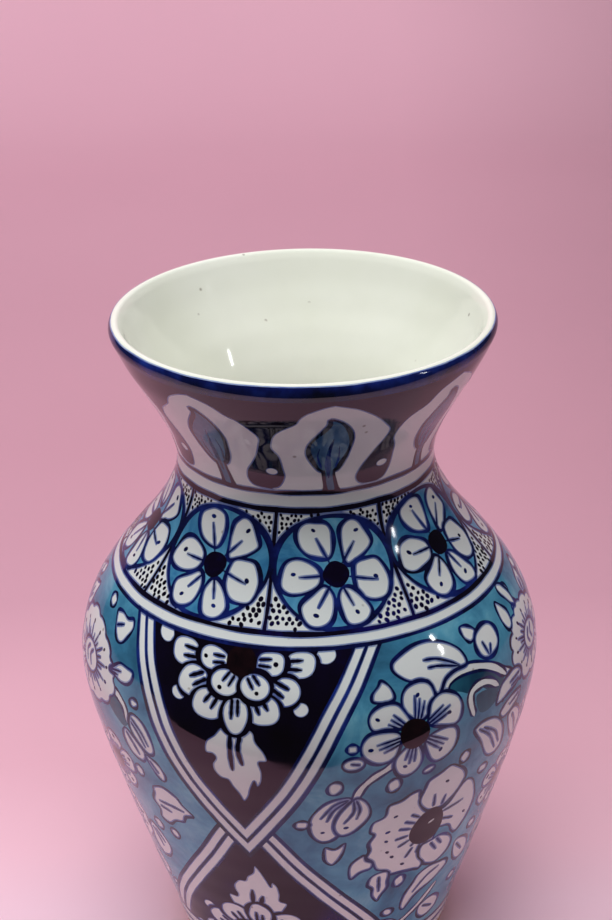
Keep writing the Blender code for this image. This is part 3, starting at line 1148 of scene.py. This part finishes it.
def bud(brush, base, angle, length, width):
    """Pointed bud on its base, with two short strokes rising from the base."""
    turn = math.radians(angle)
    out = np.array([math.cos(turn), -math.sin(turn)])
    across = np.array([math.sin(turn), math.cos(turn)])
    half = ((0.0, 0.18), (0.25, 0.46), (0.5, 0.5), (0.78, 0.26))
    points = [(share, side) for share, side in half] + [(1.0, 0.0)]
    points += [(share, -side) for share, side in reversed(half)]
    path = [np.array(base) + out * length * share + across * width * side for share, side in points]
    brush.outlined(smooth_path(path, closed=True, spacing=0.8), WHITE, 1.2)
    for side in (-0.11, 0.11):
        offset = side * width
        start = np.array(base) + out * length * 0.12 + across * offset * 0.4
        end = np.array(base) + out * length * 0.55 + across * offset * 1.4
        brush.stroke([start, end], 0.95, end=0.5)


def berry(brush, centre, half_width, half_height, tilt=0.0):
    """Small plain white bud."""
    brush.outlined(ellipse(centre, half_width, half_height, tilt, 0.8), WHITE, 1.3)


def stem(brush, width, points):
    """Curved stem: a pale ribbon between two cobalt lines."""
    brush.stroke(points, width, COBALT, start=0.06, end=0.1)
    brush.stroke(points, width * 0.5, WHITE, start=0.06, end=0.1)


def veins(brush, width, lines):
    """Vein strokes, each through its points from its base outwards."""
    for line in lines:
        brush.stroke(line, width, end=0.35)


def petal(brush, width, outline, lines=(), vein_width=1.05):
    """White petal or leaf inside a cobalt line of this width, with veins along lines."""
    brush.form(outline, WHITE, width)
    veins(brush, vein_width, lines)


def bare_shape(brush, paint, points):
    """A smooth shape of bare paint."""
    brush.fill(smooth_path(brush.shaken(points, 0.2), closed=True), paint)


STAR_PETALS = (
    (
        (-25.5, 158), (-25.5, 152), (-22, 148), (-16, 146.8), (-11.5, 149), (-10.5, 154), (-12, 158),
        (-19, 164),
    ),
    (
        (-15, 162), (-13.5, 157), (-8, 154.5), (-3, 155), (1, 158), (2.5, 163), (1, 168), (-3, 170.5),
        (-15, 167),
    ),
    (
        (-15, 171), (-8, 169.5), (-2, 171), (-0.5, 176), (-2, 181.5), (-6, 185), (-11, 186), (-15, 183),
        (-18, 174),
    ),
    (
        (-19, 176), (-18, 182), (-20, 187), (-24, 189.5), (-28.5, 188), (-31, 183), (-30.5, 177.5),
        (-23, 172),
    ),
    (
        (-29, 173), (-31, 178), (-36, 180), (-41, 179), (-45, 174.5), (-45.5, 169), (-42, 165),
        (-36, 164.5), (-28, 167),
    ),
    (
        (-28.5, 165), (-35, 163.8), (-40, 164), (-41.5, 159), (-39, 155), (-34, 153), (-28, 153.5),
        (-25.5, 157), (-23, 164),
    ),
)
STAR_MARKS = ((-18.5, 152.5), (-5, 164), (-9.5, 180), (-26, 183.5), (-41.5, 172), (-37.5, 159))


def stem_crossing(brush):
    """The great leaf over the stem that runs right, and the hook that curls back under it."""
    bare_shape(brush, TEAL, [
        (-4, 154), (4, 151), (14, 152), (24, 157), (30, 162), (22, 166), (14, 160), (7, 160), (3, 158),
    ])
    bare_shape(brush, TEAL, [
        (10, 163), (14, 161.8), (20, 163.5), (25, 167), (22, 170), (16, 171.5), (11.5, 170),
    ])
    stem(brush, 4.6, [
        (8.5, 171), (7, 165), (7.4, 161), (10, 158.9), (15, 158.4), (20, 160), (25.5, 164),
    ])
    stem(brush, 5.2, [
        (-6.5, 156), (-3.5, 151.5), (3, 149.6), (10, 149.8), (18, 152.2), (25, 156), (32, 162),
    ])
    petal(brush, 1.35, [
        (-25.5, 137.5), (-22, 135), (-15, 132.8), (-9, 132.3), (-3, 133.5), (3, 136.8), (7.5, 142),
        (8.5, 147.3), (2, 148), (-4, 150), (-7, 153.5), (-9.5, 155.5), (-11, 152), (-12, 148.5),
        (-15, 147), (-20, 146.6), (-24, 144), (-26, 140.5),
    ], [
        ((-12, 139.5), (-6, 140.5), (0, 143.5), (5, 147)), ((-11, 143), (-5, 143.8), (5, 147.2)),
    ], 1.1)


def buds_by_stem(brush):
    """Buds and leaves between the band and the stem."""
    petal(brush, 1.2, [
        (11, 132.5), (15, 133.5), (19, 137), (17, 140), (14, 140.5), (11.5, 138), (10.5, 134),
    ])
    brush.outlined(ellipse((24, 143.5), 8.2, 7.2), WHITE, 1.8)
    veins(brush, 1.1, [((20.5, 142.5), (23, 149.5)), ((25.5, 145), (23.5, 150))])
    petal(brush, 1.2, [(38, 133), (42, 136), (46, 140.5), (46, 146), (42, 147), (39, 143), (37.5, 137)])
    petal(brush, 1.15, [
        (45, 128.5), (49, 129.5), (54, 135), (56, 142), (52.5, 141), (48, 136), (45, 132),
    ])
    petal(brush, 1.15, [
        (-37.5, 152), (-37.5, 148.5), (-34, 145.5), (-32, 143.5), (-29, 147), (-29, 152),
    ])
    berry(brush, (-49, 170.5), 2.6, 2.3)
    berry(brush, (-48.5, 178), 4.8, 3.4)
    veins(brush, 1.1, [((-45.5, 178.5), (-50, 177.5))])


def tulip(brush):
    """Tulip of two broad petals leaning against the dark panel."""
    petal(brush, 1.3, [
        (-48, 196), (-57, 198), (-62.5, 207), (-61, 217), (-55.5, 223), (-50, 221), (-47, 212),
        (-46.5, 202),
    ])
    petal(brush, 1.3, [
        (-45.5, 197), (-39.5, 201), (-37.5, 209), (-42, 217), (-48, 219.5), (-52, 214), (-51, 205),
    ], [
        ((-48, 197), (-54, 200), (-58.5, 208)), ((-48, 197.5), (-53.5, 203), (-55.5, 210)),
        ((-46, 198), (-45, 205), (-48, 212)), ((-45, 198), (-42.5, 204), (-43, 210)),
    ])
    brush.dot((-56, 216.5), 1.1, 0.75)
    brush.dot((-46.5, 214.5), 1.1, 0.75)
    berry(brush, (-65.5, 211.5), 3.2, 2.8)
    petal(brush, 1.15, [(-53.5, 226), (-49, 228), (-45, 224), (-45, 232), (-48, 238.5), (-52, 235)])
    petal(brush, 1.2, [
        (-38, 236), (-35, 234), (-33.5, 238), (-30, 240.5), (-30, 244), (-35, 245.5), (-37.5, 249.5),
        (-39.5, 246), (-40, 240),
    ])


def great_flower(brush):
    """Large flower with a scalloped left side and three broad petals."""
    petal(brush, 1.3, [
        (-14.5, 206), (-16, 200.5), (-20, 200.5), (-24, 203.5), (-30, 205), (-30.5, 211.5), (-35, 214),
        (-35.5, 220), (-33, 221.5), (-35, 227), (-33.5, 232), (-34, 236), (-30, 240), (-29, 243),
        (-27, 246.5), (-22, 248), (-20, 251.5), (-14, 252.5), (-8, 253.5), (-4, 254), (-2, 240),
        (0, 224), (-6, 210),
    ], [
        ((-17.5, 214.5), (-12.5, 218)), ((-20, 218), (-14, 221)), ((-22, 222), (-15.5, 224)),
        ((-22.5, 228.5), (-16, 228)), ((-20, 234), (-14.5, 231)), ((-13.5, 236), (-11, 233)),
        ((-9, 242), (-8.5, 236)), ((-14.5, 243), (-12, 237)),
    ], 1.1)
    for place in ((-27, 222), (-26.5, 228), (-24.5, 235.5), (-21.5, 239.5), (-25, 213), (-15, 246.5)):
        brush.dot(place, 1.1, 0.75, brush.random.uniform(-50, 50))
    petal(brush, 1.3, [
        (2, 216), (5, 212), (8, 208), (11, 206.5), (15, 208.5), (18, 214), (20.5, 222), (20.5, 230),
        (17, 237), (13, 240.5), (9, 237), (6, 232), (-2, 229), (-4, 220),
    ], [
        ((0, 220), (12, 219)), ((1, 225), (8, 228)),
    ], 1.1)
    brush.dot((15.5, 229), 1.1, 0.75, 40)
    petal(brush, 1.3, [
        (-8, 241), (-7, 237.5), (-2, 237), (3, 236), (8, 239), (12, 244), (12, 250), (9, 254),
        (4, 255.5), (-2, 253), (-4, 250), (-7, 246),
    ], [
        ((-2, 239), (3, 246)), ((1, 237.5), (5.5, 243.5)),
    ], 1.1)
    petal(brush, 1.35, [
        (-15, 207), (-14, 200), (-12.5, 196), (-7, 193.5), (-2, 191.5), (2, 193.5), (7, 198), (9, 203),
        (7, 208), (4, 212), (1, 215), (-3, 216.5), (-9, 215.5), (-13, 211.5),
    ], [
        ((-6.5, 214), (-7.5, 206)), ((-2, 215), (-1, 209)),
    ], 1.1)
    brush.dot((-2, 201), 1.2, 0.8, 20)
    brush.blot((-7, 226), 8.5, 11.0, CENTRE)
    brush.dot((-5.5, 223.5), 1.6, 0.7, -25, WHITE)


def near_spray(brush):
    """The spray beside a dark panel's right-hand edge, drawn about its own meridian."""
    stem(brush, 5.0, [(-30, 180), (-34, 183), (-39.5, 186.5), (-44, 192), (-46, 200)])
    stem_crossing(brush)
    buds_by_stem(brush)
    petal(brush, 1.3, [
        (23, 172), (26, 166), (31, 163), (38, 162), (44, 164), (46, 168), (40, 170), (33, 171),
    ])
    brush.dot((28, 172.5), 1.1, 0.75)
    veins(brush, 1.0, [((44, 166), (34, 167)), ((43, 168.5), (35, 169))])
    petal(brush, 1.3, [
        (26, 178), (31, 174.5), (38, 173), (45, 174), (42, 179), (35, 181.5), (29, 181.5),
    ], [
        ((43, 175.5), (34, 177.5)),
    ], 1.0)
    petal(brush, 1.35, [
        (9, 178), (14, 176), (22, 177.5), (28, 182), (32, 190), (33, 198), (27, 201), (20, 197),
        (15, 188), (10, 181),
    ], [
        ((12, 179), (20, 186), (27, 197)), ((15, 179.5), (24, 186), (29.5, 195)),
    ])
    petal(brush, 1.3, [
        (34, 183), (40, 181), (47, 186), (51, 195), (48, 203), (42, 199), (37, 191),
    ], [
        ((38, 184), (43, 191), (47, 199)),
    ])
    open_flower(brush, (-22, 168.5), 6.8, STAR_PETALS, STAR_MARKS)
    berry(brush, (-29.5, 193), 3.3, 4.0)
    berry(brush, (-14, 189), 3.0, 2.0, -15)
    berry(brush, (5.5, 190.5), 3.0, 3.5)
    berry(brush, (-55, 190), 3.3, 3.8)
    berry(brush, (21, 205.5), 3.6, 2.8, 20)
    tulip(brush)
    great_flower(brush)
    small_flower(brush, (41, 223), 5.0, [
        (90, 16, 13), (30, 17, 13), (-30, 17, 13), (-90, 16, 13), (-150, 17, 12), (150, 17, 12),
    ], 2)
    berry(brush, (27, 244), 3.6, 3.0, 30)
    petal(brush, 1.2, [
        (-29, 251), (-26, 248.5), (-21.5, 248.5), (-20, 252), (-20, 256), (-19, 260), (-21, 265),
        (-22, 269), (-26, 264), (-27, 259), (-29.5, 256),
    ], [
        ((-25, 251), (-23, 262)),
    ], 1.0)
    berry(brush, (-14, 258), 3.0, 4.0)
    petal(brush, 1.3, [
        (-4, 259), (2, 256), (8, 257), (13, 258), (15, 262), (10, 267), (5, 270), (1, 271.5), (-3, 275),
        (-6, 281), (-8.5, 279), (-9, 273), (-8, 268), (-6, 264),
    ], [
        ((9, 260), (2, 263), (-4, 271)),
    ])
    petal(brush, 1.2, [
        (16, 249), (23, 250), (29, 256), (30, 264), (24, 266), (18, 260),
    ], [
        ((18, 251.5), (25, 260)),
    ], 1.0)
    stem(brush, 4.4, [(-12, 296), (-4, 289), (4, 281), (11, 272)])
    petal(brush, 1.2, [
        (4, 284), (12, 282), (18, 287), (17, 294), (9, 296), (4, 291),
    ], [
        ((6, 286), (14, 291)),
    ], 1.0)
    berry(brush, (-15, 279), 3.2, 2.6, 30)
    petal(brush, 1.15, [(-20, 284), (-12, 285), (-8, 290), (-12, 295), (-19, 293), (-23, 289)])
    berry(brush, (24, 277), 3.4, 3.0)


def middle_spray(brush):
    """The large flower in the middle of a turquoise panel and what hangs below it."""
    stem(brush, 4.6, [(-31, 158), (-24, 163), (-14, 170)])
    berry(brush, (-2, 133.5), 3.6, 3.0)
    bud(brush, (17, 146), 62, 14, 9)
    bud(brush, (30, 151), 60, 15, 13)
    berry(brush, (27, 135), 3.6, 3.2)
    bud(brush, (-1, 146), 92, 9, 7)
    scalloped_flower(brush, (4, 158.5), 26, 7.0, 13, 0.64)
    petal(brush, 1.3, [
        (4, 190), (14, 186), (21, 192), (22, 202), (14, 209), (6, 203), (2, 195),
    ], [
        ((8, 189), (13, 195), (14, 203)), ((13, 188), (18, 194), (18, 201)),
    ])
    petal(brush, 1.3, [
        (27, 181), (34, 179), (40, 185), (39, 195), (33, 200), (27, 192),
    ], [
        ((30, 183), (34, 190), (34, 197)),
    ])
    berry(brush, (-9, 205), 3.8, 3.2)
    berry(brush, (28, 207), 3.2, 3.8)
    petal(brush, 1.15, [(17, 184), (24, 183), (29, 187), (27, 193), (20, 193)])
    petal(brush, 1.2, [
        (44, 181), (50, 184), (53, 192), (49, 199), (44, 193),
    ], [
        ((46, 184), (48, 192)),
    ], 1.0)
    petal(brush, 1.2, [
        (-10, 188), (-5, 185), (0, 190), (-1, 198), (-7, 198),
    ], [
        ((-7, 188), (-4, 195)),
    ], 1.0)
    petal(brush, 1.2, [
        (37, 204), (43, 203), (48, 209), (45, 216), (38, 213),
    ], [
        ((40, 205), (43, 212)),
    ], 1.0)
    stem(brush, 4.4, [(1, 250), (5, 238), (0, 226), (-4, 214)])
    stem(brush, 4.0, [(13, 214), (21, 209), (31, 213), (34, 222)])
    berry(brush, (2, 213), 3.0, 3.4)
    berry(brush, (17, 242), 3.4, 3.0)
    berry(brush, (35, 232), 3.2, 3.0)
    petal(brush, 1.2, [(-13, 252), (-7, 250), (-4, 256), (-8, 262), (-14, 259)])
    petal(brush, 1.2, [
        (14, 281), (21, 279), (25, 285), (19, 290), (13, 287),
    ], [
        ((16, 282), (21, 287)),
    ], 1.0)
    petal(brush, 1.3, [
        (9, 218), (17, 216), (25, 222), (25, 231), (17, 235), (10, 229),
    ], [
        ((12, 220), (19, 229)), ((15, 219), (21.5, 226)),
    ])
    berry(brush, (29, 241), 3.4, 3.8)
    small_flower(brush, (7, 264), 5.4, [
        (90, 17, 13), (35, 16.5, 12), (-20, 17, 13), (-75, 17, 12.5), (-130, 17, 12.5), (160, 17, 13),
    ], 2)
    petal(brush, 1.2, [(26, 252), (33, 250), (38, 256), (36, 264), (29, 262)])
    berry(brush, (-10, 287), 3.4, 3.0)
    berry(brush, (26, 287), 3.2, 3.0)
    bud(brush, (11, 296), 88, 11, 8)


def far_spray(brush):
    """The spray beside a dark panel's left-hand edge, drawn about its own meridian."""
    bare_shape(brush, TEAL, [
        (-38, 166), (-31, 166), (-25, 169), (-22, 176), (-26, 180), (-33, 177), (-38, 172),
    ])
    stem(brush, 4.6, [(-41, 166.5), (-33, 165.5), (-28, 167), (-24, 170.5), (-23, 177)])
    petal(brush, 1.3, [
        (-43, 134.5), (-38, 133.5), (-33, 134.5), (-29, 133), (-27.5, 136.5), (-28.5, 140.5),
        (-32, 144.5), (-36, 145.5), (-39, 143), (-41, 139),
    ], [
        ((-40, 140), (-34, 137.5)),
    ], 1.1)
    berry(brush, (-50, 133.5), 3.4, 3.0)
    scalloped_flower(brush, (-60, 162), 28, 7.5, 13, 0.68)
    petal(brush, 1.3, [
        (-38, 158), (-34, 155), (-30, 152.5), (-25, 152.5), (-20.5, 152.5), (-20, 156), (-23, 159),
        (-28, 160), (-33, 159),
    ], [
        ((-37, 157.5), (-28, 155.5)), ((-37, 158.3), (-30, 157.8)),
    ], 1.0)
    berry(brush, (-18, 165.5), 2.8, 2.2)
    petal(brush, 1.3, [
        (-25, 180), (-28, 186), (-24, 193), (-17, 195), (-14, 190), (-18, 184),
    ], [
        ((-25, 182), (-21, 187), (-18, 192)),
    ])
    petal(brush, 1.35, [
        (-21, 172), (-18, 170.5), (-13, 172), (-9.5, 176), (-7.5, 182), (-8, 187), (-12, 188.5),
        (-18, 183), (-22, 178),
    ], [
        ((-20, 173), (-14, 178), (-10.5, 184)), ((-20.5, 175), (-15.5, 180), (-12.5, 185.5)),
    ])
    petal(brush, 1.2, [
        (-14, 190), (-9, 190.5), (-6, 193), (-4, 198), (-6, 202), (-10, 199),
    ], [
        ((-12, 192), (-8, 198)),
    ], 1.0)
    petal(brush, 1.3, [
        (-15, 209), (-8, 206), (-1, 209), (1, 213), (6, 217.5), (1, 220), (-1, 224.5), (-6, 226),
        (-11, 230.5), (-16, 228.5), (-15, 223), (-18, 218), (-16, 213),
    ], [
        ((-14, 217), (-6, 216.5), (1, 217)), ((-14, 220), (-7, 221)),
    ])
    small_flower(brush, (-42, 207), 5.6, [
        (80, 17, 13), (140, 16, 12), (-160, 16, 12), (-100, 17, 12), (-45, 16, 12), (20, 17, 13),
    ])
    berry(brush, (-22, 203), 3.0, 3.4)
    berry(brush, (-21, 236), 3.2, 3.6)
    petal(brush, 1.3, [
        (-30, 240), (-23, 242), (-18, 250), (-21, 258), (-28, 261), (-33, 253),
    ], [
        ((-29, 243), (-25, 254)), ((-27, 243), (-22, 250)),
    ])
    scalloped_flower(brush, (-49, 244), 17, 5.6, 10)
    berry(brush, (-10, 236), 2.8, 3.2)
    petal(brush, 1.2, [
        (-43, 266), (-36, 264), (-30, 270), (-31, 278), (-38, 281), (-44, 274),
    ], [
        ((-41, 268), (-35, 276)),
    ])
    berry(brush, (-27, 281), 3.4, 3.0)
    bud(brush, (-46, 295), 80, 12, 10)


def paint_body():
    painting = Painting(WHITE_BAND_MIDDLE, LAST_LINE[1] + 2.0, DARK_PANEL + 90)
    painting.band(BODY_LINE[0], FOOT_LINE[1], TURQUOISE)
    for number, meridian in enumerate((DARK_PANEL, DARK_PANEL + 180)):
        middle_spray(Brush(painting, meridian + MIDDLE_SPRAY, 400 + number))
        near_spray(Brush(painting, meridian + NEAR_SPRAY, 410 + number))
        far_spray(Brush(painting, meridian + FAR_SPRAY, 420 + number))
        dark_panels(painting, meridian, 430 + number)
    painting.band(BODY_LINE[0] - 3, BODY_LINE[0], WHITE)
    painting.band(*BODY_LINE, COBALT)
    painting.band(FOOT_LINE[0], LAST_LINE[1] + 4, WHITE)
    painting.band(*FOOT_LINE, COBALT)
    painting.band(*LAST_LINE, COBALT)
    painting.cut("body")


# ---------------------------------------------------------------- white ware
def ware_ring(name, node, start, end):
    """White glaze on one zone of the outside, from s = start to s = end."""
    down = np.arange(start, end, 1.2)
    down = np.append(down, end)
    radius = np.interp(down, OUTER_S, OUTER_R)
    height = np.interp(down, OUTER_S, OUTER_Z)
    back = GLAZE * np.column_stack([np.interp(down, OUTER_S, OUTER_NR), np.interp(down, OUTER_S, OUTER_NZ)])
    face = np.column_stack([radius, height])
    outline = np.vstack([face, (face - back)[::-4]])
    glaze = white_glaze(name, (0.79, 0.815, 0.80), (0.85, 0.865, 0.84))
    piece = turned_piece(name, outline, glaze)
    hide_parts(node)


def lining():
    """White glaze inside, as one outline: floor, inner wall, over the lip, and back behind."""
    corner_height = FLOOR_HEIGHT + FLOOR_CURVE
    inside = OUTER_S > WALL_START
    height, radius = OUTER_Z[inside], OUTER_R[inside]
    share = np.clip((height - BELLY_HEIGHT) / (LIP_HEIGHT - BELLY_HEIGHT), 0, 1)
    wall = WALL_AT_BELLY + (WALL_AT_LIP - WALL_AT_BELLY) * share
    normal = np.column_stack([OUTER_NR[inside], OUTER_NZ[inside]])
    face = np.column_stack([radius, height]) - normal * wall[:, None]
    back = face + normal * GLAZE
    face = face[face[:, 1] > corner_height][::6]
    back = back[back[:, 1] > corner_height][::24]
    corner = face[-1]
    turn = np.radians(np.linspace(0, -90, 10))
    sweep = np.column_stack(
        [corner[0] - FLOOR_CURVE + FLOOR_CURVE * np.cos(turn), corner[1] + FLOOR_CURVE * np.sin(turn)]
    )
    floor = sweep[-1, 1]
    flat = np.column_stack([np.linspace(sweep[-1, 0], 0.0, 24)[1:], np.full(23, floor)])
    front = np.vstack([face, sweep[1:], flat])[::-1]
    roll = arc(LIP_ROLL, LIP_INNER_ANGLE, LIP_END_ANGLE, 40)
    behind_roll = arc(LIP_ROLL - GLAZE, LIP_END_ANGLE, LIP_INNER_ANGLE, 20)
    under = [(corner[0] - FLOOR_CURVE * 0.7, floor - GLAZE), (0.0, floor - GLAZE)]
    outline = np.vstack([front, roll, behind_roll, back, under])
    glaze = white_glaze("white_lining", (0.79, 0.795, 0.685), (0.85, 0.85, 0.76))
    piece = turned_piece("white_lining", outline, glaze)
    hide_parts("inner_glaze")


def make_ware():
    """White glaze on every zone; each piece takes the place of one CAD glaze node."""
    last = s_at_height(BODY_GLAZE_END)
    ware_ring("neck_white", "neck_glaze", WALL_START, SHOULDER_LINE[0] + 0.8)
    ware_ring("shoulder_white", "shoulder_glaze", SHOULDER_LINE[0] + 0.8, BODY_LINE[0] + 0.8)
    ware_ring("body_white", "body_glaze", BODY_LINE[0] + 0.8, last)
    lining()


def dress_clay():
    """The clay and slip that the glaze leaves bare or hides."""
    clay = (0.56, 0.39, 0.27)
    slip = (0.66, 0.52, 0.40)
    for node in ("foot_ring", "lower_body", "upper_body", "neck"):
        bpy.data.objects[node].material_slots[0].material = fired_clay(f"{node}_clay", clay)
    for node in ("foot_slip", "belly_slip", "waist_slip"):
        bpy.data.objects[node].material_slots[0].material = fired_clay(f"{node}_slip", slip)


# ---------------------------------------------------------------- floor, light and camera
def sweep_backdrop():
    """One pale sheet: floor under the vase, curving up behind it, with painted light and shade across it.
    """
    bend_start = BACKDROP_DEPTH - BACKDROP_CURVE
    line = [(BACKDROP_FRONT, 0.0), (bend_start, 0.0)]
    for turn in np.radians(np.linspace(7.5, 90.0, 12)).tolist():
        back, up = BACKDROP_CURVE * math.sin(turn), BACKDROP_CURVE * (1.0 - math.cos(turn))
        line.append((bend_start + back, up))
    line.append((BACKDROP_DEPTH, BACKDROP_RISE))
    points = [(side * BACKDROP_WIDTH, y, z) for y, z in line for side in (-0.5, 0.5)]
    faces = [(2 * i, 2 * i + 1, 2 * i + 3, 2 * i + 2) for i in range(len(line) - 1)]
    mesh = bpy.data.meshes.new("backdrop")
    mesh.from_pydata(points, [], faces)
    mesh.shade_smooth()
    sheet = bpy.data.objects.new("backdrop", mesh)
    bpy.context.scene.collection.objects.link(sheet)
    nodes = Nodes("paper")
    tint = nodes.ramp(nodes.noise(2.0, 2.0), ((0.3, (0.80, 0.455, 0.555)), (0.7, (0.83, 0.48, 0.58))))
    across, back, _ = nodes.parts(nodes.place)
    # painted shade: the sheet darkens towards the right
    painted_shade_to_right = nodes.ramp(
        nodes.spread(across, -0.6, 0.4, 0.0, 1.0),
        ((0.0, (1.0,) * 3), (0.7, (0.95,) * 3), (0.96, (0.74,) * 3)),
    )
    # painted light and shade by depth: brighter near the front, dimmer in the middle, brighter again up the
    # back
    painted_light_and_shade_by_depth = nodes.ramp(
        nodes.spread(back, 0.0, BACKDROP_DEPTH, 0.0, 1.0),
        (
            (0.00, (1.20, 1.38, 1.33)),
            (0.03, (1.20, 1.25, 1.21)),
            (0.08, (1.05, 1.01, 1.00)),
            (0.19, (0.84, 0.77, 0.79)),
            (0.32, (0.83, 0.75, 0.77)),
            (0.50, (0.86, 0.80, 0.82)),
            (0.76, (0.99, 0.97, 0.98)),
            (1.00, (1.34, 1.36, 1.36)),
        ),
    )
    # the paper's colour times the painted light and shade
    tint = nodes.mix(1.0, nodes.mix(1.0, tint, painted_shade_to_right, "MULTIPLY"), painted_light_and_shade_by_depth, "MULTIPLY")
    mesh.materials.append(nodes.finish(tint, 0.9))


def area_light(name, place, size, watts, height=None):
    """A lamp facing the vase, square unless it is given a height."""
    lamp = bpy.data.lights.new(name, "AREA")
    lamp.energy = watts
    lamp.size = size
    if height:
        lamp.shape = "RECTANGLE"
        lamp.size_y = height
    holder = bpy.data.objects.new(name, lamp)
    holder.location = place
    aim = Vector(LIGHT_TARGET) - Vector(place)
    holder.rotation_euler = aim.to_track_quat("-Z", "Y").to_euler()
    bpy.context.scene.collection.objects.link(holder)
    return holder


def make_lights():
    world = bpy.data.worlds.new("room")
    world.use_nodes = True
    background = world.node_tree.nodes["Background"]
    background.inputs["Color"].default_value = ROOM_COLOUR
    background.inputs["Strength"].default_value = ROOM_STRENGTH
    scene = bpy.context.scene
    scene.world = world
    scene.view_settings.view_transform = "Standard"
    overhead = area_light("overhead", OVERHEAD_PLACE, OVERHEAD_SIZE, OVERHEAD_WATTS)
    overhead.data.color = (0.97, 0.99, 1.0)
    overhead.visible_glossy = False
    for name, place, height, watts in PANES:
        area_light(name, place, PANE_WIDTH, watts, height)


def make_camera():
    pitch = math.radians(VIEW_PITCH)
    forward = Vector((0.0, math.cos(pitch), -math.sin(pitch)))
    up = Vector((0.0, math.sin(pitch), math.cos(pitch)))
    right = Vector((1.0, 0.0, 0.0))
    place = Vector((0.0, 0.0, MOUTH_HEIGHT)) - forward * VIEW_DISTANCE
    place -= right * VIEW_SHIFT[0] + up * VIEW_SHIFT[1]
    turn = Matrix((right, up, -forward)).transposed() @ Matrix.Rotation(-math.radians(VIEW_ROLL), 3, "Z")
    lens = bpy.data.cameras.new("camera")
    lens.sensor_fit = "VERTICAL"
    lens.sensor_height = SENSOR_HEIGHT
    lens.lens = VIEW_LENS
    camera = bpy.data.objects.new("camera", lens)
    camera.matrix_world = Matrix.Translation(place) @ turn.to_4x4()
    bpy.context.scene.collection.objects.link(camera)
    bpy.context.scene.camera = camera


make_camera()
make_ware()
paint_neck()
paint_shoulder()
paint_body()
dress_clay()
sweep_backdrop()
make_lights()
